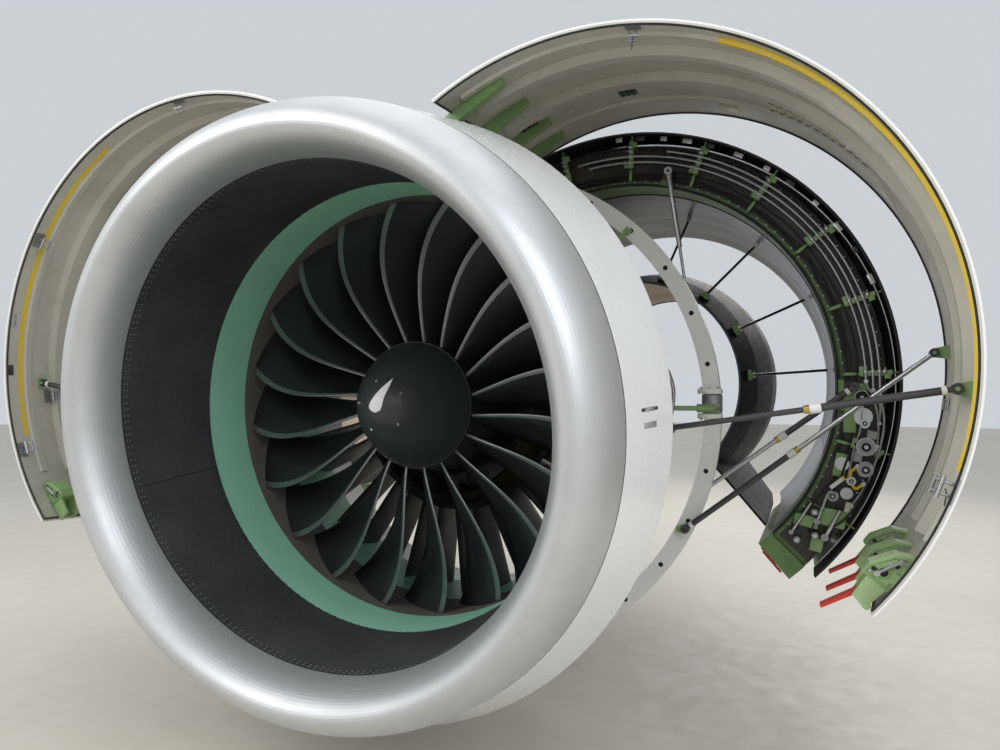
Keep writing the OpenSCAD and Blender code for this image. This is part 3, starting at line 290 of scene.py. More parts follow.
def spline(points, steps=8):
    """A smooth line through the points."""
    pts = [Vector(p) for p in points]
    pts = [pts[0] * 2 - pts[1]] + pts + [pts[-1] * 2 - pts[-2]]
    out = []
    for i in range(1, len(pts) - 2):
        p0, p1, p2, p3 = pts[i - 1:i + 3]
        for k in range(steps):
            t = k / steps
            out.append(0.5 * ((2 * p1) + (p2 - p0) * t + (2 * p0 - 5 * p1 + 4 * p2 - p3) * t * t
                              + (3 * p1 - p0 - 3 * p2 + p3) * t ** 3))
    out.append(pts[-2])
    return out


# Geometry nodes

class NodeGroup:
    """A geometry node group with a geometry input, further inputs and a geometry output."""

    def __init__(self, name, inputs):
        self.group = bpy.data.node_groups.new(name, "GeometryNodeTree")
        sockets = self.group.interface
        for socket, kind in (("Geometry", "Geometry"), *inputs):
            sockets.new_socket(name=socket, in_out="INPUT", socket_type="NodeSocket" + kind)
        sockets.new_socket(name="Geometry", in_out="OUTPUT", socket_type="NodeSocketGeometry")
        self.start = self.group.nodes.new("NodeGroupInput").outputs

    def node(self, kind, values, **props):
        """Adds a node; a value is a socket to link or a number to set, under the input's name or place."""
        node = self.group.nodes.new(kind)
        for key, value in props.items():
            setattr(node, key, value)
        for key, value in values.items():
            if isinstance(value, bpy.types.NodeSocket):
                self.group.links.new(value, node.inputs[key])
            else:
                node.inputs[key].default_value = value
        return node.outputs

    def finish(self, instances):
        """Makes the instances real and gives them the group's material."""
        real = self.node("GeometryNodeRealizeInstances", {"Geometry": instances})["Geometry"]
        paint = self.node("GeometryNodeSetMaterial", {"Geometry": real, "Material": self.start["Material"]})
        self.node("NodeGroupOutput", {"Geometry": paint["Geometry"]})
        return self.group


def scatter_group():
    """Flattened heads on the points of a mesh, turned along the attribute dir."""
    name = "Heads on points"
    if name in bpy.data.node_groups:
        return bpy.data.node_groups[name]
    made = NodeGroup(name, (("Radius", "Float"), ("Height", "Float"), ("Sides", "Int"),
                            ("Material", "Material")))
    start, node = made.start, made.node
    cone = node("GeometryNodeMeshCone", {"Radius Bottom": 1.0, "Radius Top": 0.72, "Depth": 1.0,
                                         "Vertices": start["Sides"]})
    direction = node("GeometryNodeInputNamedAttribute", {"Name": "dir"}, data_type="FLOAT_VECTOR")
    turn = node("FunctionNodeAlignEulerToVector", {"Vector": direction["Attribute"]}, axis="Z")
    scale = node("ShaderNodeCombineXYZ", {"X": start["Radius"], "Y": start["Radius"], "Z": start["Height"]})
    copies = node("GeometryNodeInstanceOnPoints", {
        "Points": start["Geometry"], "Instance": cone["Mesh"], "Rotation": turn["Rotation"],
        "Scale": scale["Vector"]})
    return made.finish(copies["Instances"])


def circle_group():
    """Copies of the geometry turned about the engine's axis."""
    name = "Copies round the axis"
    if name in bpy.data.node_groups:
        return bpy.data.node_groups[name]
    made = NodeGroup(name, (("Count", "Int"), ("Pivot", "Vector"), ("Material", "Material")))
    start, node = made.start, made.node
    line = node("GeometryNodeMeshLine", {"Offset": (0.0, 0.0, 0.0), "Count": start["Count"],
                                         "Start Location": start["Pivot"]})
    index = node("GeometryNodeInputIndex", {})
    share = node("ShaderNodeMath", {0: index["Index"], 1: start["Count"]}, operation="DIVIDE")
    angle = node("ShaderNodeMath", {0: share[0], 1: TAU}, operation="MULTIPLY")
    turn = node("ShaderNodeCombineXYZ", {"Y": angle[0]})
    copies = node("GeometryNodeInstanceOnPoints", {
        "Points": line["Mesh"], "Instance": start["Geometry"], "Rotation": turn["Vector"]})
    return made.finish(copies["Instances"])


def run_group(obj, group, values):
    """Runs a node group on the object and keeps the result as its mesh."""
    modifier = obj.modifiers.new("Nodes", "NODES")
    modifier.node_group = group
    for item in group.interface.items_tree:
        if item.in_out == "INPUT" and item.name in values:
            modifier[item.identifier] = values[item.name]
    graph = bpy.context.evaluated_depsgraph_get()
    graph.update()
    mesh = bpy.data.meshes.new_from_object(obj.evaluated_get(graph), preserve_all_data_layers=True,
                                           depsgraph=graph)
    obj.modifiers.remove(modifier)
    old = obj.data
    obj.data = mesh
    mesh.name = obj.name
    bpy.data.meshes.remove(old)
    return obj


def heads(name, spots, radius, height, sides, finish, body, smooth=False):
    """Rivet or bolt heads at (place, direction) pairs."""
    obj = link_mesh(name, [p for p, _ in spots], [])
    directions = np.array([tuple(Vector(d).normalized()) for _, d in spots], dtype=float)
    obj.data.attributes.new("dir", "FLOAT_VECTOR", "POINT").data.foreach_set("vector", directions.ravel())
    run_group(obj, scatter_group(),
              {"Radius": radius, "Height": height, "Sides": sides, "Material": mat(finish)})
    for polygon in obj.data.polygons:
        polygon.use_smooth = smooth
    settle(obj, body)


def round_copies(obj, count, pivot, finish):
    """The object's mesh, given about the pivot, copied round the axis."""
    run_group(obj, circle_group(), {"Count": count, "Pivot": tuple(pivot), "Material": mat(finish)})


# Materials

class Shader:
    """Builds one procedural material."""

    def __init__(self, name, color=(0.8, 0.8, 0.8), rough=0.5, metal=0.0, coat=0.0, spec=0.5):
        self.material = bpy.data.materials.new(name)
        self.material.use_nodes = True
        self.material.diffuse_color = (*color, 1.0)
        self.tree = self.material.node_tree
        self.bsdf = next(n for n in self.tree.nodes if n.type == "BSDF_PRINCIPLED")
        for key, value in (("Base Color", (*color, 1.0)), ("Roughness", rough), ("Metallic", metal),
                           ("Coat Weight", coat), ("Coat Roughness", 0.12), ("Specular IOR Level", spec)):
            self.bsdf.inputs[key].default_value = value
        self.coords = self.node("ShaderNodeTexCoord", {})["Object"]

    def node(self, kind, values, **props):
        """Adds a node; a value is a socket to link or a number to set, under the input's name or place."""
        node = self.tree.nodes.new(kind)
        for key, value in props.items():
            setattr(node, key, value)
        for key, value in values.items():
            self.put(value, node.inputs[key])
        return node.outputs

    def put(self, value, socket):
        if isinstance(value, bpy.types.NodeSocket):
            self.tree.links.new(value, socket)
        else:
            socket.default_value = value

    def color(self, value):
        self.put(value, self.bsdf.inputs["Base Color"])

    def roughness(self, value):
        self.put(value, self.bsdf.inputs["Roughness"])

    def math(self, op, a, b=0.0):
        return self.node("ShaderNodeMath", {0: a, 1: b}, operation=op)[0]

    def plus(self, a, b):
        return self.math("ADD", a, b)

    def less(self, a, b):
        return self.math("SUBTRACT", a, b)

    def times(self, a, b):
        return self.math("MULTIPLY", a, b)

    def most(self, a, b):
        return self.math("MAXIMUM", a, b)

    def below(self, a, b):
        return self.math("LESS_THAN", a, b)

    def above(self, a, b):
        return self.math("GREATER_THAN", a, b)

    def average(self, a, b, share=0.5):
        """The share of a and the rest of b."""
        return self.plus(self.times(a, share), self.times(b, 1 - share))

    def vector(self, op, a, b):
        return self.node("ShaderNodeVectorMath", {0: a, 1: b}, operation=op)["Vector"]

    def stretched(self, x, y, z):
        return self.vector("MULTIPLY", self.coords, (x, y, z))

    def noise(self, scale, detail=3.0, rough=0.5, vector=None, distort=0.0):
        return self.node("ShaderNodeTexNoise", {
            "Vector": vector or self.coords, "Scale": scale, "Detail": detail, "Roughness": rough,
            "Distortion": distort})["Fac"]

    def cells(self, scale, feature="F1", vector=None):
        values = {"Vector": vector or self.coords, "Scale": scale}
        return self.node("ShaderNodeTexVoronoi", values, feature=feature)["Distance"]

    def ramp(self, value, low, high, a=0.0, b=1.0):
        """The value, spread from low..high to a..b and held there."""
        values = {0: value, 1: low, 2: high, 3: a, 4: b}
        return self.node("ShaderNodeMapRange", values, clamp=True)[0]

    def mix(self, factor, a, b):
        a, b = (c if isinstance(c, bpy.types.NodeSocket) else (*c, 1.0) for c in (a, b))
        return self.node("ShaderNodeMix", {0: factor, 6: a, 7: b}, data_type="RGBA")[2]

    def bump(self, height, strength, distance):
        values = {"Strength": strength, "Distance": distance, "Height": height}
        self.put(self.node("ShaderNodeBump", values)[0], self.bsdf.inputs["Normal"])

    def on_panel(self, panel):
        """(angle on the closed nacelle in degrees, radius, y in the engine frame) on an open panel."""
        shifted = self.vector("SUBTRACT", self.coords, tuple(panel_centre(panel)))
        x, y, z = self.node("ShaderNodeSeparateXYZ", {0: shifted})
        if panel.startswith("left"):
            x = self.times(x, -1.0)
        radius = self.math("SQRT", self.plus(self.times(x, x), self.times(z, z)))
        angle = self.times(self.math("ARCTAN2", z, x), math.degrees(1.0))
        return self.less(angle, open_angle(panel)), radius, y


def worn(name, color, rough, metal, dirt, coat=0.0, dark=None, scale=3.0, streak=True, bumps=0.0, spec=0.5):
    """A finish with soft stains, faint streaks and uneven sheen."""
    s = Shader(name, color, rough, metal, coat, spec)
    fine = s.noise(scale * 14, 3.0, 0.6)
    stain = s.ramp(s.average(s.noise(scale, 4.0, 0.6), fine, 0.7), 0.42, 0.72)
    if streak:
        runs = s.noise(5.0, 4.0, 0.7, s.stretched(9.0, 9.0, 0.6))
        stain = s.most(stain, s.ramp(runs, 0.60, 0.78, 0.0, 0.8))
    s.color(s.mix(s.times(stain, dirt), color, dark or tuple(c * 0.62 for c in color)))
    s.roughness(s.ramp(fine, 0.3, 0.7, rough * 0.82, min(1.0, rough * 1.2)))
    if bumps:
        s.bump(s.noise(scale * 60, 2.0), 0.3, bumps)
    return s.material


def lip_material():
    """Satin metal, brushed round the lip."""
    s = Shader("Lip metal", (0.62, 0.63, 0.64), 0.46, 0.80)
    brushed = s.noise(2.4, 5.0, 0.7, s.stretched(1.0, 30.0, 1.0))
    clouds = s.noise(3.2, 4.0, 0.6)
    specks = s.ramp(s.noise(90.0, 2.0, 0.5), 0.70, 0.78)
    metal = s.mix(s.ramp(clouds, 0.35, 0.7), (0.66, 0.67, 0.68), (0.59, 0.60, 0.61))
    s.color(s.mix(s.times(specks, 0.35), metal, (0.40, 0.39, 0.37)))
    s.roughness(s.ramp(s.average(brushed, clouds), 0.3, 0.7, 0.44, 0.56))
    s.bump(brushed, 0.04, 0.0005)
    return s.material


def acoustic_material():
    """Dark grey panel with a fine pattern of holes, their darkness painted shade."""
    s = Shader("Acoustic panel", (0.11, 0.115, 0.12), 0.62)
    dots = s.ramp(s.cells(240.0), 0.16, 0.30, 1.0, 0.0)
    base = s.mix(s.ramp(s.noise(2.6, 4.0, 0.6), 0.35, 0.7), (0.030, 0.032, 0.034), (0.055, 0.057, 0.060))
    base = s.mix(s.ramp(s.noise(36.0, 2.0, 0.5), 0.55, 0.75, 0.0, 0.3), base, (0.09, 0.09, 0.09))
    # Painted shade: the hole dots are mixed towards near-black.
    s.color(s.mix(s.times(dots, 0.55), base, (0.012, 0.012, 0.012)))
    s.bump(s.times(dots, -1.0), 0.25, 0.0008)
    return s.material


def foil_material():
    """Creased metal foil."""
    s = Shader("Foil blanket", (0.60, 0.60, 0.58), 0.30, 1.0)
    warp = s.noise(7.0, 3.0, 0.6, distort=0.6)
    creases = s.cells(26.0, "DISTANCE_TO_EDGE", s.vector("ADD", s.coords, s.times(warp, 0.08)))
    small = s.cells(70.0)
    s.color(s.mix(s.ramp(warp, 0.35, 0.65), (0.66, 0.655, 0.63), (0.46, 0.455, 0.44)))
    s.roughness(s.ramp(small, 0.1, 0.6, 0.22, 0.42))
    s.bump(s.plus(s.plus(s.times(creases, 1.2), s.times(small, 0.5)), warp), 0.9, 0.012)
    return s.material


# The yellow stripe inside each cowl: between which stations y and which angles
STRIPES = {"right_cowl": (0.500, 0.586, -64.0, 22.0), "left_cowl": (0.496, 0.530, -66.0, 12.5)}


def cowl_material(panel):
    """Outside gloss white, inside off-white with a yellow stripe, rub marks and grime."""
    s = Shader("Cowl paint " + panel, (0.72, 0.73, 0.71), 0.42)
    angle, radius, y = s.on_panel(panel)
    fall = (NACELLE_R - NACELLE_FRONT_R) / (FLARE_Y - COWL_FRONT_Y) ** 2
    flare = s.math("POWER", s.most(s.less(FLARE_Y, y), 0.0), 2.0)
    inside = s.below(radius, s.less(NACELLE_R - COWL_T / 2, s.times(flare, fall)))
    clouds = s.noise(2.2, 5.0, 0.65)
    fine = s.noise(30.0, 3.0, 0.6)
    runs = s.noise(4.0, 4.0, 0.7, s.stretched(8.0, 8.0, 0.7))
    grime = s.most(s.ramp(clouds, 0.48, 0.75, 0.0, 0.55), s.ramp(runs, 0.58, 0.80, 0.0, 0.6))
    grime = s.most(grime, s.ramp(fine, 0.66, 0.80, 0.0, 0.5))
    inner = s.mix(grime, (0.56, 0.54, 0.47), (0.37, 0.35, 0.29))
    low, high, from_angle, to_angle = STRIPES[panel]
    stripe = s.times(s.times(s.above(y, low), s.below(y, high)),
                     s.times(s.above(angle, from_angle), s.below(angle, to_angle)))
    inner = s.mix(s.times(stripe, s.ramp(fine, 0.30, 0.42, 0.55, 1.0)), inner, (0.82, 0.60, 0.06))
    outer = s.mix(s.times(grime, 0.25), (0.86, 0.87, 0.87), (0.62, 0.62, 0.60))
    s.color(s.mix(inside, outer, inner))
    s.roughness(s.plus(s.times(inside, 0.22), s.ramp(clouds, 0.3, 0.7, 0.22, 0.34)))
    s.bump(fine, 0.12, 0.0006)
    return s.material


# Angles on the closed reverser half: its first rib, the step between ribs, its beams; and its ring's radius
RIB_FIRST = 66
RIB_STEP = 17
BEAM_ANGLES = (-82.0, 74.0)
TORQUE_RING_R = 1.150


def frame_material(panel):
    """Nearly black web with a green torque ring, ribs and beams."""
    s = Shader("Frame paint " + panel, (0.02, 0.02, 0.02), 0.45)
    angle, radius, y = s.on_panel(panel)
    steps = s.math("FRACT", s.plus(s.math("DIVIDE", s.less(RIB_FIRST, angle), RIB_STEP), 10.5))
    near_rib = s.below(s.math("ABSOLUTE", s.less(steps, 0.5)), 0.022)
    rib = s.times(near_rib, s.below(y, WEB_Y - 0.0004))
    beam = s.most(s.above(angle, BEAM_ANGLES[1]), s.below(angle, BEAM_ANGLES[0]))
    green = s.most(rib, s.most(s.below(radius, TORQUE_RING_R), beam))
    clouds = s.noise(6.0, 4.0, 0.6)
    fine = s.noise(60.0, 3.0, 0.6)
    dark = s.mix(s.ramp(clouds, 0.4, 0.7), (0.018, 0.018, 0.017), (0.060, 0.048, 0.036))
    paint = s.mix(s.ramp(clouds, 0.45, 0.75), (0.150, 0.270, 0.085), (0.070, 0.120, 0.045))
    s.color(s.mix(s.ramp(fine, 0.62, 0.72, 0.0, 0.5), s.mix(green, dark, paint), (0.16, 0.15, 0.13)))
    s.roughness(s.ramp(fine, 0.3, 0.7, 0.34, 0.52))
    return s.material


def duct_material(panel):
    """Duct wall with a soft sheen: dark grey with uneven tone above -58 degrees, which is painted shade, and
    bright silver along its lower part.
    """
    s = Shader("Duct wall " + panel, (0.09, 0.09, 0.10), 0.32, 0.3)
    angle = s.on_panel(panel)[0]
    clouds = s.noise(2.5, 4.0, 0.6)
    rings = s.noise(3.0, 3.0, 0.6, s.stretched(0.5, 16.0, 0.5))
    # Painted shade: the wall above -58 degrees gets these dark greys, the part below it bright silver.
    dark = s.mix(s.ramp(clouds, 0.35, 0.7), (0.050, 0.050, 0.054), (0.115, 0.112, 0.112))
    s.color(s.mix(s.below(angle, -58.0), dark, (0.50, 0.51, 0.52)))
    s.roughness(s.ramp(s.average(clouds, rings), 0.3, 0.7, 0.24, 0.40))
    return s.material


def blade_material():
    """Black coating with a few specks."""
    s = Shader("Blade black", (0.016, 0.017, 0.019), 0.36, 0.0, 0.2)
    clouds = s.noise(5.0, 4.0, 0.6)
    specks = s.ramp(s.noise(120.0, 2.0), 0.68, 0.76)
    coating = s.mix(clouds, (0.010, 0.011, 0.013), (0.022, 0.024, 0.027))
    s.color(s.mix(s.times(specks, 0.3), coating, (0.12, 0.12, 0.12)))
    s.roughness(s.ramp(clouds, 0.3, 0.7, 0.32, 0.46))
    return s.material


def floor_material():
    s = Shader("Floor", (0.62, 0.62, 0.60), 0.55)
    fine = s.noise(9.0, 4.0, 0.6)
    s.color(s.mix(s.average(s.noise(0.7, 5.0, 0.6), fine, 0.7), (0.70, 0.66, 0.58), (0.54, 0.50, 0.43)))
    s.roughness(s.ramp(fine, 0.3, 0.7, 0.45, 0.65))
    return s.material


def gap_material():
    return Shader("Dark gap", (0.012, 0.012, 0.012), 0.8).material


# Worn finishes: material name, colour, roughness, metallic, dirt and further values
FINISHES = {
    "white": ("White paint", (0.86, 0.87, 0.87), 0.24, 0.0, 0.06, {"coat": 0.5, "streak": False}),
    "ring_white": ("Ring white", (0.88, 0.88, 0.84), 0.38, 0.0, 0.12, {}),
    "inner_white": ("Inner white", (0.60, 0.58, 0.51), 0.42, 0.0, 0.4, {"scale": 5.0}),
    "aluminium": ("Bare aluminium", (0.60, 0.61, 0.62), 0.34, 1.0, 0.4, {}),
    "case": ("Fan housing metal", (0.42, 0.43, 0.43), 0.42, 1.0, 0.4, {}),
    "band": ("Band teal", (0.325, 0.670, 0.490), 0.5, 0.0, 0.22, {"scale": 5.0}),
    "rub": ("Rub strip", (0.145, 0.128, 0.110), 0.70, 0.0, 0.5, {"scale": 9.0}),
    "vane": ("Vane dark", (0.07, 0.07, 0.072), 0.38, 0.4, 0.3, {}),
    "bronze": ("Bronze alloy", (0.20, 0.145, 0.085), 0.42, 0.8, 0.45, {}),
    "hot": ("Hot alloy", (0.42, 0.36, 0.30), 0.36, 1.0, 0.5, {"dark": (0.16, 0.12, 0.14)}),
    "steel": ("Steel", (0.54, 0.55, 0.56), 0.30, 1.0, 0.18, {"scale": 2.5, "streak": False}),
    "dark_steel": ("Dark steel", (0.085, 0.085, 0.09), 0.40, 0.6, 0.2, {"scale": 2.5, "streak": False}),
    "spinner": ("Spinner black", (0.032, 0.034, 0.038), 0.44, 0.0, 0.15,
                {"coat": 0.12, "dark": (0.05, 0.05, 0.05)}),
    "sheath": ("Blade edge metal", (0.33, 0.34, 0.35), 0.46, 1.0, 0.4, {"scale": 7.0}),
    "green": ("Primer green", (0.245, 0.395, 0.160), 0.45, 0.0, 0.35, {"scale": 8.0}),
    "latch_green": ("Latch green", (0.360, 0.500, 0.240), 0.45, 0.0, 0.3, {"scale": 8.0}),
    "dark_green": ("Dark green", (0.045, 0.085, 0.045), 0.40, 0.0, 0.35, {"scale": 6.0}),
    "black": ("Composite black", (0.012, 0.012, 0.013), 0.50, 0.0, 0.35,
              {"dark": (0.035, 0.035, 0.034), "spec": 0.25}),
    "rubber": ("Seal rubber", (0.018, 0.018, 0.018), 0.65, 0.0, 0.3, {}),
    "red": ("Handle red", (0.55, 0.035, 0.02), 0.38, 0.0, 0.3, {"scale": 20.0}),
    "grey_cast": ("Grey casting", (0.34, 0.35, 0.36), 0.45, 0.7, 0.4, {}),
    "yellow": ("Yellow sleeve", (0.78, 0.50, 0.03), 0.45, 0.0, 0.3, {"scale": 18.0}),
    "gold": ("Gold collar", (0.60, 0.42, 0.12), 0.32, 0.9, 0.3, {"scale": 18.0}),
    "cream": ("Cream primer", (0.56, 0.55, 0.38), 0.5, 0.0, 0.35, {"scale": 12.0}),
    "plate": ("Bare plate", (0.62, 0.63, 0.64), 0.36, 0.6, 0.3, {"scale": 20.0}),
    "plate_black": ("Plate black", (0.05, 0.05, 0.055), 0.4, 0.0, 0.2, {"scale": 20.0}),
    "mark": ("White mark", (0.82, 0.82, 0.80), 0.4, 0.0, 0.25, {"scale": 14.0}),
    "pink": ("Joint sealant", (0.62, 0.50, 0.47), 0.6, 0.0, 0.3, {"scale": 14.0}),
    "blanket": ("Heat blanket", (0.30, 0.24, 0.18), 0.42, 0.7, 0.5, {"scale": 5.0, "bumps": 0.004}),
    "edge_blue": ("Edge blue grey", (0.10, 0.135, 0.19), 0.45, 0.0, 0.3, {"scale": 6.0}),
}
SPECIAL_FINISHES = {"lip": lip_material, "acoustic": acoustic_material, "foil": foil_material,
                    "blade": blade_material, "floor": floor_material, "gap": gap_material}

# Which CAD nodes wear which finish
FINISH_NODES = {
    "lip": "inlet_lip",
    "acoustic": "inlet_acoustic_liner",
    "case": "fan_case",
    "band": "fan_case_liner",
    "rub": "rub_strip",
    "vane": "exit_guide_vanes",
    "bronze": "core_inlet",
    "ring_white": "support_ring",
    "spinner": "spinner",
    "blade": "fan_hub",
    "latch_green": "right_cowl_latch_blocks",
    "aluminium": "inlet_bulkheads case_fittings",
    "grey_cast": "accessory_gearbox reduction_gearbox",
    "hot": "core_case exhaust_nozzle exhaust_plug low_turbine high_turbine",
    "white": "pylon right_sleeve left_sleeve",
    "green": "ring_fittings right_cowl_hinges left_cowl_hinges left_cowl_keepers",
    "red": "latch_handle_1 latch_handle_2 latch_handle_3 right_tr_latches",
    "steel": "shaft_bearings low_shaft low_compressor high_compressor right_tr_tubes right_drag_links "
             "tr_actuator_body tr_actuator_rod",
    "dark_steel": "right_cascades left_cascades cowl_front_rod cowl_back_rod left_cowl_rod tr_hold_rod",
    "black": "right_tr_fairing left_tr_fairing right_inner_structure left_inner_structure",
}

_library = {}


def mat(finish):
    """The material of a finish, made once."""
    if finish not in _library:
        if finish in SPECIAL_FINISHES:
            _library[finish] = SPECIAL_FINISHES[finish]()
        else:
            *values, further = FINISHES[finish]
            _library[finish] = worn(*values, **further)
    return _library[finish]


# Settings

class EngineSettings(bpy.types.PropertyGroup):
    """Sizes and colours a user would change."""

    rivet_radius: FloatProperty(name="Rivet radius", description="Radius of a rivet head", default=0.0034,
                                min=0.001, max=0.01, unit="LENGTH")
    rivet_step: FloatProperty(name="Rivet spacing", description="Distance between rivets of a row",
                              default=0.042, min=0.02, max=0.2, unit="LENGTH")
    blade_count: IntProperty(name="Fan blades", description="Number of fan blades", default=20,
                             min=16, max=22)
    sheath_width: FloatProperty(name="Edge sheath", default=0.075, min=0.03, max=0.3,
                                description="Part of a blade's chord under its metal edge")
    floor_drop: FloatProperty(name="Floor below axis", default=1.62, min=1.55, max=3.0, unit="LENGTH",
                              description="Height of the engine axis above the floor")
    key_color: FloatVectorProperty(name="Key light colour", description="Colour of the main light",
                                   subtype="COLOR", default=(1.0, 0.985, 0.96), min=0.0, max=1.0)
    key_power: FloatProperty(name="Key light", description="Strength of the main light", default=420.0,
                             min=10.0, max=2000.0)


def settings():
    return bpy.context.scene.engine_looks


class EngineOperator(bpy.types.Operator):
    """Base of the steps below."""

    bl_options = {"REGISTER", "UNDO"}


class ENGINE_OT_finishes(EngineOperator):
    """Gives every CAD node its finish"""

    bl_idname = "engine.finishes"
    bl_label = "Finishes"

    def execute(self, context):
        for finish, nodes in FINISH_NODES.items():
            for node in nodes.split():
                self.paint(node, mat(finish))
        for panel in COWLS:
            paint = cowl_material(panel)
            self.paint(panel + "_skin", paint)
            self.paint(panel + "_ribs", paint)
        for panel in REVERSERS:
            self.paint(panel.replace("reverser", "tr_frame"), frame_material(panel))
            self.paint(panel.replace("reverser", "duct_wall"), duct_material(panel))
        return {"FINISHED"}

    def paint(self, node, material):
        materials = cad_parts[node].data.materials
        materials.clear()
        materials.append(material)


# Inlet

BARREL_FRONT_Y = 0.0272
BARREL_T = 0.006
SEAM_ANGLES = (78, 198, 318)
# Joint lines of the inlet: name, finish, place function, then (radius, y) of both edges
JOINT_LINES = (
    ("lip_joint_inside", "gap", droop_point, ((1.0347, -0.0022), (1.0347, 0.0032))),
    ("lip_joint_outside", "gap", droop_point, ((1.2684, 0.0238), (1.2692, 0.0284))),
    ("barrel_sealant", "pink", axis_point, ((1.0402, 0.5390), (1.0402, 0.5462))),
    ("barrel_gap", "gap", axis_point, ((1.0402, 0.5462), (1.0398, 0.5520))),
)
# Blank placards on the barrel: share of its length, angle, width, height and whether it is dark
BARREL_PLACARDS = ((0.36, 2.6, 0.012, 0.033, True), (0.62, 2.8, 0.012, 0.033, True),
                   (0.49, 2.7, 0.016, 0.080, False), (0.49, 0.2, 0.022, 0.105, False))


def barrel_point(u, phi, depth=0.0):
    """A point of the barrel's skin: share of its length, angle, and depth below its outside."""
    r = LIP_OUTER_R + (NACELLE_FRONT_R - LIP_OUTER_R) * u - depth
    front = droop_point(r, phi, BARREL_FRONT_Y)
    back = row(closed_point(phi, r, COWL_FRONT_Y - BARREL_T))
    return front * (1 - u) + back * u


def barrel_normal(u, phi):
    around = barrel_point(u, phi + 0.5) - barrel_point(u, phi - 0.5)
    along = barrel_point(min(1, u + 0.02), phi) - barrel_point(max(0, u - 0.02), phi)
    n = around.cross(along).normalized()
    p = barrel_point(u, phi)
    return n if n.dot(p - row((0, p.y + MOUNT_Y, 0))) > 0 else -n


def on_barrel(u, phi):
    """A rivet's place and direction."""
    return barrel_point(u, phi, 0.0002), barrel_normal(u, phi)


def all_round(step):
    """Angles round the engine, the step apart."""
    return [k * step for k in range(int(360 / step))]


class ENGINE_OT_inlet(EngineOperator):
    """Builds the smooth outer barrel, the joints and the rivets of the inlet"""

    bl_idname = "engine.inlet"
    bl_label = "Inlet"

    def execute(self, context):
        s = settings()
        self.barrel(s)
        self.lip_rivets(s)
        for name, finish, place, edges in JOINT_LINES:
            n = 256
            verts = [place(r, 360 * k / n, y) for r, y in edges for k in range(n)]
            new_object(name, verts, grid_faces(2, n, closed=True), finish, "engine")
        self.acoustic_panels()
        self.placards()
        return {"FINISHED"}

    def barrel(self, s):
        """The barrel's skin, its outside and inside joined at both ends, and its rivets."""
        n, rings = 256, []
        levels = [(u / 10, 0.0) for u in range(11)] + [(u / 10, BARREL_T) for u in range(10, -1, -1)]
        for u, depth in levels:
            rings += [barrel_point(u, 360 * k / n, depth) for k in range(n)]
        last = (len(levels) - 1) * n
        faces = grid_faces(len(levels), n, closed=True)
        faces += [(last + k, last + (k + 1) % n, (k + 1) % n, k) for k in range(n)]
        skin = new_object("outer_barrel", rings, faces, "white", "engine", replaces=("inlet_outer_barrel",))
        shaded_by_angle(skin, 40)
        step = math.degrees(s.rivet_step / 1.3)
        spots = [on_barrel(u, phi) for u in (0.03, 0.075, 0.925, 0.965) for phi in all_round(step)]
        spots += [on_barrel(u / 30, phi + d) for phi in (24, 156, 204, 336) for u in range(3, 28)
                  for d in (-0.45, 0.45)]
        heads("barrel_rivets", spots, s.rivet_radius * 0.8, 0.0012, 8, "white", "engine", smooth=True)

    def lip_rivets(self, s):
        """Rows on the lip, outside and inside of its joint."""
        spots, step = [], math.degrees(s.rivet_step * 0.8 / 1.2)
        arc = math.radians(LIP_ARC)
        height = (LIP_OUTER_R - LIP_CROWN_R) / math.sin(arc)
        depth = (0.025 - LIP_FRONT_Y) / (1 - math.cos(arc))
        for degrees in (66.5, 69.0):
            a = math.radians(degrees)
            r, y = LIP_CROWN_R + height * math.sin(a), LIP_FRONT_Y + depth - depth * math.cos(a)
            for phi in all_round(step):
                p = droop_point(r, phi, y)
                spots.append((p, droop_point(r + 0.1, phi, y - 0.03) - p))
        for y, r in ((-0.014, 1.0352), (-0.030, 1.0356), (0.016, 1.0350), (0.034, 1.0350)):
            for phi in all_round(step):
                p = droop_point(r, phi, y)
                spots.append((p, droop_point(r - 0.1, phi, y) - p))
        heads("lip_rivets", spots, s.rivet_radius * 0.75, 0.0014, 8, "aluminium", "engine", smooth=True)

    def acoustic_panels(self):
        """Seams of the acoustic panels with rivets on both sides."""
        seams, spots, half = Parts(), [], 0.14
        for phi in SEAM_ANGLES:
            for i in range(24):
                front, back = 0.045 + i * 0.0195, 0.045 + (i + 1) * 0.0195
                corners = ((phi - half, front), (phi + half, front), (phi + half, back), (phi - half, back))
                seams.add([droop_point(1.0346, a, y) for a, y in corners], [(0, 1, 2, 3)])
            for a in (phi - 0.9, phi + 0.9):
                for i in range(22):
                    y = 0.05 + i * 0.021
                    inward = droop_point(0.9, a, y) - droop_point(1.0, a, y)
                    spots.append((droop_point(1.0348, a, y), inward))
        seams.build("acoustic_seams", "gap", "engine")
        heads("acoustic_rivets", spots, 0.0028, 0.001, 8, "acoustic", "engine", smooth=True)

    def placards(self):
        """Blank placards on the barrel's right side."""
        plates, darks = Parts(), Parts()
        for u, phi, width, height, dark in BARREL_PLACARDS:
            p, out = barrel_point(u, phi), barrel_normal(u, phi)
            along = (barrel_point(u, phi + 1) - p).normalized()
            parts = darks if dark else plates
            parts.box(p + out * 0.0005, (width, height, 0.0016), along, out.cross(along))
        plates.build("barrel_placards", "plate", "engine")
        darks.build("barrel_placards_dark", "plate_black", "engine")


# Fan

HUB_FRONT_Y = 0.835
HUB_FRONT_R = 0.315
HUB_RISE = 0.070
HUB_LENGTH = 0.290
BLADE_TIP_R = 1.034
BLADE_PHASE = 10.0
ROOT_CHORD = 0.265
TIP_CHORD = 0.350
SPINNER_BACK_Y = 0.834
SPINNER_LENGTH = 0.370
SPINNER_R = 0.312
SPINNER_POWER = 1 / 0.54
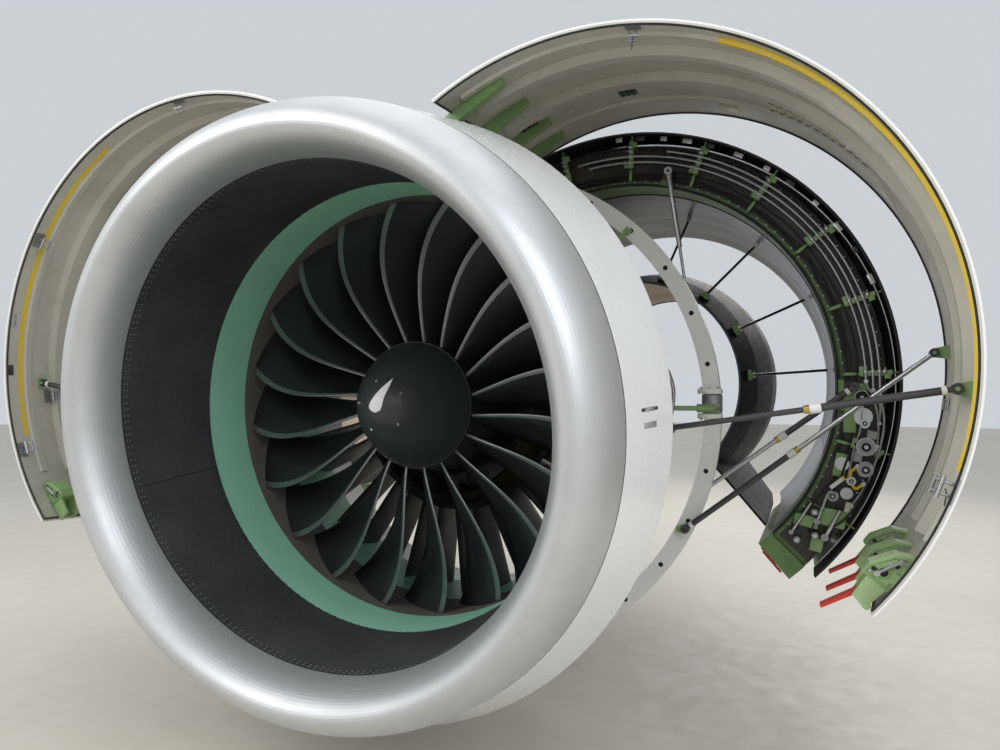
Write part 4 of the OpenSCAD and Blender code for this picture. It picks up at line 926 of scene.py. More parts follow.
# Left and right outline of the comma on the spinner: (x, z) in millimetres from the axis
MARK_LEFT = ((51.3, 129.9), (33.8, 104.9), (17.5, 83.4), (4.2, 62.4), (-12.0, 35.9), (-28.2, 7.1),
             (-22.5, -13.6), (2.8, -27.6))
MARK_RIGHT = ((51.3, 129.9), (51.8, 96.2), (47.5, 69.7), (42.8, 47.5), (40.4, 25.8), (36.8, 3.2),
              (27.8, -16.4), (2.8, -27.6))
# Heads on the spinner: name, finish, count, their circle's radius, first angle, lift, and the head's radius,
# height and sides
SPINNER_HEADS = (("spinner_bolts", "steel", 5, 0.120, 29.5, 0.0015, 0.0085, 0.005, 6),
                 ("spinner_screws", "dark_steel", 20, 0.303, 0.0, 0.0005, 0.0042, 0.0018, 8))


def blade_values(t):
    """Chord, stagger, front edge, sideways bow and thickness at the share t of a blade's height."""
    chord = ROOT_CHORD + (TIP_CHORD - ROOT_CHORD) * t + 0.014 * math.sin(math.pi * t)
    stagger = 14 + 49 * t ** 0.85
    front = HUB_FRONT_Y + 0.012 - 0.052 * math.sin(math.pi * t ** 0.9) * 0.9 + 0.014 * t
    bow = 21 * t * (1 - t) - 1.5 * t
    thick = 0.026 * (1 - 0.66 * t)
    return chord, stagger, front, bow, thick


def hub_r_at(y):
    return HUB_FRONT_R + HUB_RISE * min(1.0, max(0.0, (y - HUB_FRONT_Y) / HUB_LENGTH))


def blade_point(t, s, side, extra=0.0):
    """A point of the blade's skin about the axis: share of height, share of chord and face."""
    chord, stagger, front, bow, thick = blade_values(t)
    edge = math.sin(math.acos(max(-1.0, min(1.0, 1 - 2 * s))))
    half = thick * (0.9 * math.sqrt(edge) * (1 - 0.35 * s)) / 2 + extra if s > 0 and edge > 1e-6 else 0.0
    lift = chord * (0.10 - 0.065 * t) * math.sin(math.pi * s) + side * half
    local = math.radians(stagger - (1 - t) * 14 * (2 * s - 1))
    mean = math.radians(stagger)
    across = s * chord * math.sin(mean) + lift * math.cos(local)
    y = front + s * chord * math.cos(mean) - lift * math.sin(local)
    r = (hub_r_at(y) + 0.0006) * (1 - t) + BLADE_TIP_R * t
    phi = math.radians(bow + BLADE_PHASE) - across / r
    return Vector((r * math.cos(phi), y - MOUNT_Y, r * math.sin(phi)))


def blade_mesh(name, s_values, rows=30, extra=0.0):
    """One blade between two parts of its chord: a closed loop of points at each station."""
    verts, count = [], 0
    for i in range(rows + 1):
        t = i / rows
        values = s_values(t)
        inner = values[1:] if values[0] == 0 else values
        loop = [(v, 1) for v in values] + [(v, -1) for v in reversed(inner)]
        if values[-1] >= 1.0:
            loop = [(v, 1) for v in values] + [(v, -1) for v in reversed(values[:-1])]
            if values[0] == 0:
                loop = loop[:-1]
        count = len(loop)
        verts += [blade_point(t, v, side, extra) for v, side in loop]
    faces = grid_faces(rows + 1, count, closed=True)
    for base, flip in ((0, True), (rows * count, False)):
        for k in range(count // 2):
            quad = [base + i % count for i in (k, k + 1, count - k - 1, count - k)]
            quad = [q for i, q in enumerate(quad) if q not in quad[:i]]
            if len(quad) > 2:
                faces.append(tuple(reversed(quad)) if flip else tuple(quad))
    return link_mesh(name, verts, faces)


def spinner_point(r, phi, lift=0.0):
    """A point of the spinner's surface, lifted off along its normal."""
    share = r / SPINNER_R
    y = SPINNER_BACK_Y - SPINNER_LENGTH * (1 - share ** SPINNER_POWER)
    slope = SPINNER_LENGTH / SPINNER_R * SPINNER_POWER * max(share, 0.02) ** (SPINNER_POWER - 1)
    a = math.radians(phi)
    normal = Vector((slope * math.cos(a), -1.0, slope * math.sin(a))).normalized()
    return axis_point(r, phi, y) + normal * lift


class ENGINE_OT_fan(EngineOperator):
    """Builds the smooth fan blades with their metal edges, and the spinner's mark and bolts"""

    bl_idname = "engine.fan"
    bl_label = "Fan"

    def execute(self, context):
        s = settings()
        pivot = Vector((0.0, 0.0, -MOUNT_Z))

        def width(t):
            return s.sheath_width * (0.62 + 0.75 * t ** 1.6)

        def body_values(t):
            w = width(t)
            return [w * 0.86 + (1 - w * 0.86) * (k / 14) for k in range(15)]

        def sheath_values(t):
            w = width(t)
            return [w * (k / 6) ** 2 for k in range(7)]

        for name, values, extra, finish, nodes, slot in (
                ("fan_blade_set", body_values, 0.0, "blade", ("fan_blades",), "blade_black"),
                ("fan_blade_edges", sheath_values, 0.0005, "sheath", (), None)):
            blades = blade_mesh(name, values, extra=extra)
            round_copies(blades, s.blade_count, pivot, finish)
            settle(blades, "fan", nodes)
            shaded_by_angle(blades, 60)
        self.spinner()
        return {"FINISHED"}

    def spinner(self):
        """The comma laid on the spinner between its two outlines, and the spinner's heads."""
        left, right = (spline([(x, 0, z) for x, z in side], 5) for side in (MARK_LEFT, MARK_RIGHT))
        verts = []
        for a, b in zip(left, right):
            for k in range(7):
                p = a.lerp(b, k / 6)
                phi = math.degrees(math.atan2(p.z, p.x))
                verts.append(spinner_point(math.hypot(p.x, p.z) / 1000, phi, 0.0012))
        new_object("spinner_mark", verts, grid_faces(len(left), 7), "mark", "fan")
        for name, finish, count, r, first, lift, radius, height, sides in SPINNER_HEADS:
            spots = []
            for i in range(count):
                phi = 360 / count * i + first
                p = spinner_point(r, phi, lift)
                spots.append((p, p - spinner_point(r, phi)))
            heads(name, spots, radius, height, sides, finish, "fan")


# Case and ring

BLANKET_FRONT_Y = 0.760
BLANKET_LENGTH = 0.735
STRAP_R = 1.0925
SCREEN_IN_R = 1.100
SCREEN_OUT_R = 1.148
# Screens on the case: first and last angle, front and back
CASE_SCREENS = ((5.0, 31.0, 1.300, 1.480), (149.0, 175.0, 1.300, 1.480))
# Pipes on each side of the case: finish, radius, path of (angle, radius from the axis, y)
CASE_PIPES = (
    ("steel", 0.010, ((9.0, 1.155, 1.380), (8.0, 1.165, 1.440), (3.0, 1.170, 1.500), (-4.0, 1.150, 1.520),
                      (-9.0, 1.120, 1.480), (-12.0, 1.105, 1.400))),
    ("steel", 0.007, [(phi, 1.104, 0.700 + 0.010 * math.sin(phi)) for phi in range(50, -60, -6)]),
    ("rubber", 0.008, [(phi, 1.100, 0.730 + 0.006 * math.cos(phi)) for phi in range(58, -64, -6)]),
    ("steel", 0.008, ((-20.0, 1.108, 0.700), (-21.0, 1.112, 0.860), (-20.0, 1.112, 1.050),
                      (-24.0, 1.112, 1.200), (-24.0, 1.108, 1.440))),
    ("steel", 0.006, ((34.0, 1.104, 0.700), (35.0, 1.110, 0.900), (37.0, 1.112, 1.150),
                      (37.0, 1.112, 1.470))),
)
# Boxes on each side of the case: angle, y, width, length, thickness
CASE_BOXES = ((40.0, 0.985, 0.16, 0.22, 0.060), (-34.0, 1.020, 0.20, 0.24, 0.070),
              (-47.0, 0.980, 0.12, 0.16, 0.055), (22.0, 0.860, 0.12, 0.12, 0.040))


class ENGINE_OT_case(EngineOperator):
    """Builds the crinkled foil blanket, its straps and the case's bolts and pipes"""

    bl_idname = "engine.case"
    bl_label = "Fan case"

    def execute(self, context):
        self.blanket()
        self.straps()
        spots = []
        for y, direction in ((CASE_Y, FORWARD), (CASE_Y + 0.014, AFT), (1.501, FORWARD), (1.515, AFT)):
            spots += [(axis_point(FLANGE_R - 0.013, 10 * i, y), direction) for i in range(36)]
        heads("case_bolts", spots, 0.0085, 0.008, 6, "steel", "engine")
        self.screens()
        self.equipment()
        return {"FINISHED"}

    def blanket(self):
        """The blanket's skin, raised by waves of many lengths and held down at both edges."""
        rng = random.Random(7)
        n, m, verts = 420, 40, []
        waves = [(rng.randint(9, 60), rng.uniform(3, 26), rng.uniform(0, TAU), rng.uniform(0.2, 1.0))
                 for _ in range(16)]
        for i in range(m + 1):
            v = i / m
            y = BLANKET_FRONT_Y + BLANKET_LENGTH * v
            edge = min(1.0, min(v, 1 - v) * 16)
            for k in range(n):
                a = TAU * k / n
                h = sum(w * math.sin(f * a + g * v * 3 + p) for f, g, p, w in waves) / 5
                h = abs(h) ** 0.7 * (1 if h > 0 else -1)
                r = CASE_OUT_R + 0.0005 + edge * (0.0135 + 0.0075 * max(-1.0, min(1.0, h)))
                verts.append(row((r * math.cos(a), y, r * math.sin(a))))
        new_object("foil_blanket_skin", verts, grid_faces(m + 1, n, closed=True), "foil", "engine",
                   replaces=("foil_blanket",))

    def straps(self):
        straps = Parts()
        for y in (0.905, 1.130, 1.360):
            for phi in range(0, 360, 3):
                corners = ((phi, y - 0.011), (phi + 3, y - 0.011), (phi + 3, y + 0.011), (phi, y + 0.011))
                straps.add([axis_point(STRAP_R, a, b) for a, b in corners], [(0, 1, 2, 3)])
        straps.build("blanket_straps", "steel", "engine")

    def screens(self):
        """Perforated screens, built from narrow boxes round the case, and near-black discs for their holes,
        which are painted shade.
        """
        screens, holes = Parts(), []
        for first, last, front, back in CASE_SCREENS:
            width, n = last - first, 26
            for i in range(n):
                a, b = first + width * i / n, first + width * (i + 1) / n
                corners = [axis_point(r, phi, y) for r in (SCREEN_IN_R, SCREEN_OUT_R) for y in (front, back)
                           for phi in (a, b)]
                screens.add(corners, [(0, 1, 3, 2), (4, 6, 7, 5), (0, 4, 5, 1), (2, 3, 7, 6), (0, 2, 6, 4),
                                      (1, 5, 7, 3)])
            # Painted shade: the holes are near-black discs laid on the screens' faces.
            for i in range(1, 30):
                phi = first + width * i / 30
                for j in range(7):
                    y = front + 0.018 + 0.024 * j
                    p = axis_point(SCREEN_OUT_R + 0.0002, phi, y)
                    holes.append((p, p - axis_point(1.0, phi, y)))
            for i in range(30):
                phi = first + width * (i + 0.5) / 30
                holes += [(axis_point(1.112 + 0.012 * j, phi, front - 0.0003), FORWARD) for j in range(3)]
        screens.build("case_screens", "grey_cast", "engine")
        heads("case_screen_holes", holes, 0.0052, 0.0008, 10, "gap", "engine", smooth=True)

    def equipment(self):
        """Pipes, boxes with their plugs and clamps, the same on both sides of the case."""
        sets = {"steel": Parts(), "rubber": Parts(), "grey_cast": Parts(), "gold": Parts()}
        for mirrored in (False, True):
            def at(r, phi, y):
                return axis_point(r, 180 - phi if mirrored else phi, y)

            for finish, radius, path in CASE_PIPES:
                sets[finish].tube(spline([at(r, phi, y) for phi, r, y in path]), radius, 12)
            for phi, y, width, length, t in CASE_BOXES:
                p, out = at(1.085 + t / 2, phi, y), at(1.2, phi, y) - at(1.0, phi, y)
                front, out_unit = p + FORWARD * (length / 2), out.normalized()
                sets["grey_cast"].box(p, (width, length, t), AFT.cross(out), AFT)
                sets["gold"].bar(p + out_unit * (t / 2), p + out_unit * (t / 2 + 0.012), 0.018, 20)
                sets["gold"].bar(front, front + FORWARD * 0.022, 0.014, 20)
            for phi in range(48, -60, -12):
                p = at(1.098, phi, 0.715)
                toward = phi - 1 if mirrored else phi + 1
                sets["steel"].box(p, (0.016, 0.050, 0.030), at(1.098, toward, 0.715) - p, AFT)
        build_sets(sets, "case_pipes_", "engine")


class ENGINE_OT_ring(EngineOperator):
    """Adds rivets, holes, bolts, joint plates and blocks to the white support ring"""

    bl_idname = "engine.ring"
    bl_label = "Support ring"

    def execute(self, context):
        angles = range(-259, 80, 4)

        def on_face(a, r):
            return row(closed_point(a, r, RING_Y - 0.0002)), FORWARD

        spots = [on_face(a, r) for r in (RING_R - 0.014, RING_IN_R + 0.014) for a in angles]
        heads("ring_rivets", spots, 0.005, 0.002, 8, "ring_white", "engine", smooth=True)
        # Painted shade: near-black discs stand for the shade inside the ring's holes.
        holes = [on_face(a + 2, (RING_R + RING_IN_R) / 2) for a in angles if a % 3 == 0]
        heads("ring_holes", holes, 0.013, 0.0012, 20, "gap", "engine", smooth=True)
        self.joints()
        return {"FINISHED"}

    def joints(self):
        """A block between two plates on each side, with bolts above and below."""
        plates, blocks, spots = Parts(), Parts(), []
        for side in (1, -1):
            for z in (-0.065, 0.065):
                plates.box(row((side * 1.3385, RING_Y + 0.012, z)), (0.121, 0.066, 0.028))
            blocks.box(row((side * 1.349, RING_Y + 0.017, 0.0)), (0.098, 0.062, 0.103))
            for x in (1.296, 1.338, 1.380):
                for up in (-1, 1):
                    spots.append((row((side * x, RING_Y - 0.010, up * 0.079)), Vector((0, 0, up))))
        plates.build("ring_joint_plates", "ring_white", "engine")
        blocks.build("ring_joint_blocks", "grey_cast", "engine")
        heads("ring_joint_bolts", spots, 0.008, 0.009, 6, "steel", "engine")


# Cowls

RIVET_ROWS = (0.429, 0.478, 0.520, 0.600, 0.694, 0.826, 0.990, 1.064, 1.196, 1.330, 1.433, 1.512, 1.640,
              1.706)
RIVET_COLUMNS = (73.3, 52, 30, 8, -14, -36, -58, -75)
PAD_FINISHES = ("green", "dark_green", "cream", "plate", "plate_black", "steel", "grey_cast", "gap",
                "rubber")
# Plates with holes in both cowls: angle, y, width, length
HOLED_PLATES = ((43.5, 0.862, 0.090, 0.080), (45.5, 1.319, 0.090, 0.080), (67.5, 1.224, 0.100, 0.110))
# Pads in both cowls: finish, angle, y, width, length, thickness
COWL_PADS = (
    ("plate", -20, 0.915, 0.11, 0.07, 0.0025), ("plate_black", -31, 0.93, 0.06, 0.05, 0.0025),
    ("plate", -37.5, 0.450, 0.075, 0.030, 0.0025), ("plate_black", 4, 0.940, 0.05, 0.04, 0.0025),
    ("plate", -50, 0.940, 0.08, 0.045, 0.0025), ("cream", -12, 1.58, 0.12, 0.07, 0.004),
    ("green", -46, 1.26, 0.11, 0.09, 0.02), ("green", -70, 0.98, 0.09, 0.10, 0.02),
    ("cream", 26, 1.58, 0.10, 0.09, 0.004), ("green", 70.5, 0.650, 0.060, 0.120, 0.014))
# Hooks: cowl, angle, y, size
COWL_HOOKS = (("right_cowl", 36.2, 0.472, 0.9), ("right_cowl", -66.7, 0.446, 1.3),
              ("right_cowl", -54.5, 1.290, 1.0), ("left_cowl", -17.0, 0.467, 1.2),
              ("left_cowl", 37.0, 0.455, 0.9), ("left_cowl", -69.6, 0.455, 1.2),
              ("left_cowl", -56.1, 0.695, 1.2))
# Lanyards that hang from hooks: cowl, angle, y
LANYARDS = (("right_cowl", -66.7, 0.446), ("left_cowl", -56.1, 0.695), ("right_cowl", 36.2, 0.472))
# Latch blocks in both cowls, and on their front faces: the raised edge as (angle, depth), then the bolts and
# the bushes as (angle, depth, radius)
LATCH_Y = (0.560, 0.900, 1.270)
LATCH_EDGE = ((-84.6, 0.006), (-84.6, 0.104), (-83.2, 0.104), (-79.9, 0.054), (-79.0, 0.008))
LATCH_BOLTS = ((-84.0, 0.016, 0.006), (-81.8, 0.016, 0.006), (-79.8, 0.016, 0.006), (-84.0, 0.094, 0.006),
               (-81.2, 0.056, 0.006))
LATCH_BUSHES = ((-82.9, 0.055, 0.019), (-83.3, 0.088, 0.010), (-80.9, 0.033, 0.011))


def down_to(last, first, step):
    """Angles from the first down to the last, the step apart."""
    angles, phi = [], first
    while phi > last:
        angles.append(phi)
        phi -= step
    return angles


class ENGINE_OT_cowls(EngineOperator):
    """Adds rivets, seals, plates, hooks, lanyards and latch details to the open fan cowls"""

    bl_idname = "engine.cowls"
    bl_label = "Fan cowls"

    def execute(self, context):
        s = settings()
        for panel in COWLS:
            self.rivets(s, panel)
            self.seals(panel)
        sets = {panel: {finish: Parts() for finish in PAD_FINISHES} for panel in COWLS}
        self.plates(sets)
        self.hooks(sets)
        for panel in COWLS:
            for y in LATCH_Y:
                self.latch_details(sets[panel], panel, y)
        for panel in COWLS:
            build_sets(sets[panel], panel + "_pads_", panel)
        return {"FINISHED"}

    def rivets(self, s, panel):
        """Rivets of the skin, then those on the rib flanges."""
        def spot(phi, y, lift, offset=0.0):
            return panel_point(panel, phi, cowl_in_r(y) - lift, y + offset), -panel_out(panel, phi)

        step = math.degrees(s.rivet_step * 0.9 / 1.38)
        spots = [spot(phi, y, 0.0002) for y in RIVET_ROWS for phi in down_to(-84, 72.0, step)]
        spots += [spot(phi, 0.44 + 0.04 * i, 0.0002) for phi in RIVET_COLUMNS for i in range(32)]
        heads(panel + "_rivets", spots, s.rivet_radius * 0.85, 0.0014, 8, "inner_white", panel, smooth=True)
        spots = [spot(phi, y, 0.0425, d * 0.62) for y in (0.760, 1.130) for d in (-0.047, 0.047)
                 for phi in down_to(-74, 67.0, step * 1.3)]
        heads(panel + "_rib_rivets", spots, s.rivet_radius, 0.0016, 8, "inner_white", panel, smooth=True)

    def seals(self, panel):
        """Black seals round the edges."""
        def edge(phi, y):
            return panel_point(panel, phi, cowl_in_r(y) - 0.004, y)

        seal = Parts()
        for y in (COWL_FRONT_Y + 0.007, COWL_BACK_Y - 0.008):
            seal.tube([edge(74.7 - 162.9 * i / 90, y) for i in range(91)], 0.0045, 8)
        for phi in (74.6, -88.1):
            seal.tube([edge(phi, COWL_FRONT_Y + 0.012 + i * 0.128) for i in range(11)], 0.0045, 8)
        seal.build(panel + "_seal", "rubber", panel)

    def along(self, panel, phi, y):
        """Unit vector along the cowl's inner face towards the hinge."""
        r = cowl_in_r(y)
        return (panel_point(panel, phi + 1, r, y) - panel_point(panel, phi, r, y)).normalized()

    def pad(self, sets, panel, finish, phi, y, width, length, t=0.006, lift=0.0):
        """A flat pad of thickness t on the cowl's inner face, or lifted off it."""
        along = self.along(panel, phi, y)
        place = panel_point(panel, phi, cowl_in_r(y) - t / 2 - lift, y)
        sets[panel][finish].box(place, (width, length, t), along, along.cross(panel_out(panel, phi)))

    def plates(self, sets):
        """Small plates and pads inside the cowls."""
        for i in range(12):
            phi = 16.2 - 1.9 * i
            self.pad(sets, "right_cowl", "cream", phi, 1.375, 0.040, 0.085)
            for y in (1.325, 1.425):
                self.pad(sets, "right_cowl", "dark_green", phi, y, 0.022, 0.020, 0.008)
        for phi, y, width, length in HOLED_PLATES:
            for panel in COWLS:
                self.holed(sets, panel, phi, y, width, length)
        for panel in COWLS:
            for values in COWL_PADS:
                self.pad(sets, panel, *values)

    def holed(self, sets, panel, phi, y, width, length):
        """A green plate with a row of holes down each side, drawn as near-black pads of painted shade."""
        self.pad(sets, panel, "dark_green", phi, y, width, length)
        turn = math.degrees(width * 0.30 / 1.38)
        # Painted shade: near-black pads stand for the shade inside the plate's holes.
        for i in (-1, 0, 1):
            for j in (-1, 1):
                self.pad(sets, panel, "gap", phi + i * turn, y + j * length * 0.28, width * 0.15,
                         length * 0.20, 0.002, 0.006)

    def hooks(self, sets):
        """The hooks, one more plate and the lanyards that hang from the hooks."""
        for panel, phi, y, size in COWL_HOOKS:
            self.hook(sets, panel, phi, y, size)
        self.pad(sets, "left_cowl", "plate_black", -49.8, 0.450, 0.060, 0.034, 0.0025)
        drop = Vector((0.004, 0.002, -1.0))
        for panel, phi, y in LANYARDS:
            top = panel_point(panel, phi, cowl_in_r(y) - 0.030, y)
            path = [top + drop * 0.012 * i + Vector((0.003 * math.sin(i), 0.003 * math.cos(i), 0))
                    for i in range(6)]
            sets[panel]["rubber"].tube(path, 0.0022, 6)

    def hook(self, sets, panel, phi, y, size):
        """A sprung hook on two legs, with its pin."""
        along, inward = self.along(panel, phi, y), -panel_out(panel, phi)
        p = panel_point(panel, phi, cowl_in_r(y), y)
        cast = sets[panel]["grey_cast"]
        tip = (inward * 0.052 + AFT * 0.020) * size
        for side in (-1, 1):
            q = p + along * side * 0.016 * size
            cast.tube([q, q + inward * 0.030 * size, q + tip], 0.0045 * size, 8)
        pin, reach = p + inward * 0.036 * size, along * 0.030 * size
        sets[panel]["steel"].bar(pin - reach, pin + reach, 0.006 * size, 14)
        reach = along * 0.024 * size
        cast.bar(p + tip - reach, p + tip + reach, 0.0060 * size, 12)
        self.pad(sets, panel, "grey_cast", phi, y, 0.070 * size, 0.046 * size, 0.004)

    def latch_details(self, sets, panel, y):
        """Raised edges, bolts, bushes and a link on the front face of a latch block."""
        front = y - 0.042

        def at(phi, depth, lift=0.0):
            return panel_point(panel, phi, cowl_in_r(front) - depth, front) + FORWARD * lift

        for (phi, depth), (next_phi, next_depth) in zip(LATCH_EDGE, LATCH_EDGE[1:]):
            sets["green"].bar(at(phi, depth, 0.002), at(next_phi, next_depth, 0.002), 0.0045, 8)
        for phi, depth, radius in LATCH_BOLTS:
            sets["steel"].bar(at(phi, depth), at(phi, depth, 0.007), radius, 6)
        for phi, depth, radius in LATCH_BUSHES:
            sets["green"].bar(at(phi, depth), at(phi, depth, 0.004), radius * 1.35, 24)
            # Painted shade: a near-black disc stands for the shade in the bush's bore.
            sets["gap"].bar(at(phi, depth, 0.0036), at(phi, depth, 0.0046), radius * 0.85, 20)
        a, b = at(-83.6, 0.070, 0.010), at(-80.0, 0.030, 0.010)
        sets["grey_cast"].bar(a, b, 0.006, 10)
        for p in (a, b):
            sets["steel"].bar(p - FORWARD * 0.008, p + FORWARD * 0.006, 0.011, 16)


# Reverser

# Angles of the crossbars, one on each rib, and of the drag links on the inner structure
CROSSBAR_ANGLES = (66, 49, 32, 15, -2, -19, -36, -53)
LINK_ANGLES = (38, 14, -10, -34)
# Boxes of a crossbar: angle from the rib, radius, y, size
CROSSBAR_BOXES = ((0.0, 1.300, 1.7475, (0.150, 0.026, 0.012)), (0.5, 1.243, 1.752, (0.040, 0.052, 0.024)),
                  (-0.4, 1.352, 1.752, (0.030, 0.044, 0.022)), (0.0, 1.180, 1.760, (0.055, 0.016, 0.026)))
# Wires of the harness: radius from the axis, wire's radius, first and last angle
HARNESS = ((1.168, 0.0065, 70, -60), (1.186, 0.0050, 70, -40), (1.338, 0.0060, 70, -56),
           (1.214, 0.0045, 40, -58))
PLACARD_ANGLES = (52, 47, 41.5, 36, 30.5, 24, 17, 11, 4, -3, -9, -16)
LOWER_FINISHES = ("green", "grey_cast", "steel", "rubber", "yellow", "mark", "gold", "black", "cream", "red")
# Boxes on the lower part of the right half's frame: finish, angle turned to, angle, radius, y, size
LOWER_BOXES = (
    ("green", -40, -40.5, 1.205, 1.757, (0.110, 0.095, 0.030)),
    ("green", -40, -46.5, 1.190, 1.758, (0.060, 0.160, 0.028)),
    ("grey_cast", -50, -49.8, 1.305, 1.750, (0.050, 0.045, 0.040)),
    ("grey_cast", -50, -55.2, 1.268, 1.752, (0.045, 0.060, 0.036)),
    ("green", -50, -58.5, 1.205, 1.757, (0.060, 0.120, 0.030)),
    ("green", -50, -70.5, 1.290, 1.754, (0.130, 0.090, 0.034)),
    ("green", -50, -74.5, 1.200, 1.752, (0.120, 0.060, 0.030)),
    ("green", -50, -77.5, 1.310, 1.748, (0.060, 0.070, 0.030)),
    ("cream", -50, -67.0, 1.330, 1.752, (0.036, 0.070, 0.020)))
# Valves and canisters: finish, angle, radius from the axis, radius, depth
VALVES = (("black", -41.5, 1.235, 0.030, 0.050), ("grey_cast", -52.6, 1.290, 0.040, 0.070),
          ("grey_cast", -57.4, 1.318, 0.034, 0.085), ("steel", -47.5, 1.262, 0.022, 0.045),
          ("steel", -61.0, 1.280, 0.020, 0.05), ("grey_cast", -66.0, 1.235, 0.024, 0.045))
# Pipes from the straight runs down to the valves: finish, radius, path of (angle, radius from the axis)
LOWER_PIPES = (
    ("steel", 0.0065, ((-37.8, 1.252), (-39.5, 1.262), (-41.5, 1.300), (-43.5, 1.322), (-47.0, 1.325))),
    ("steel", 0.0065, ((-39.8, 1.285), (-42.0, 1.290), (-45.0, 1.312), (-49.0, 1.330), (-52.0, 1.338))),
    ("steel", 0.0060, ((-40.8, 1.316), (-46.0, 1.345), (-52.0, 1.352), (-60.0, 1.350), (-66.0, 1.335))),
    ("steel", 0.0050, ((-44.0, 1.240), (-49.0, 1.246), (-54.0, 1.240), (-61.0, 1.262))),
    ("yellow", 0.0080, ((-57.4, 1.282), (-59.2, 1.262), (-61.0, 1.282), (-62.2, 1.312), (-60.6, 1.338))),
    ("rubber", 0.0060, ((-52.6, 1.245), (-57.0, 1.225), (-63.0, 1.232), (-70.0, 1.225), (-76.0, 1.245))),
    ("rubber", 0.0060, ((-58.0, 1.345), (-63.0, 1.352), (-69.0, 1.340), (-74.0, 1.300))),
    ("rubber", 0.0045, ((-62.0, 1.205), (-68.0, 1.180), (-73.0, 1.170), (-79.0, 1.190))))
# Link bars at the lower edge: both ends as (angle, radius from the axis), radius
LOWER_LINKS = (((-66.0, 1.210), (-73.0, 1.240), 0.009), ((-68.0, 1.300), (-75.0, 1.315), 0.011),
               ((-70.0, 1.165), (-79.0, 1.180), 0.007))
LOWER_STUBS = ((-71.5, 1.205), (-76.0, 1.275), (-79.5, 1.225))


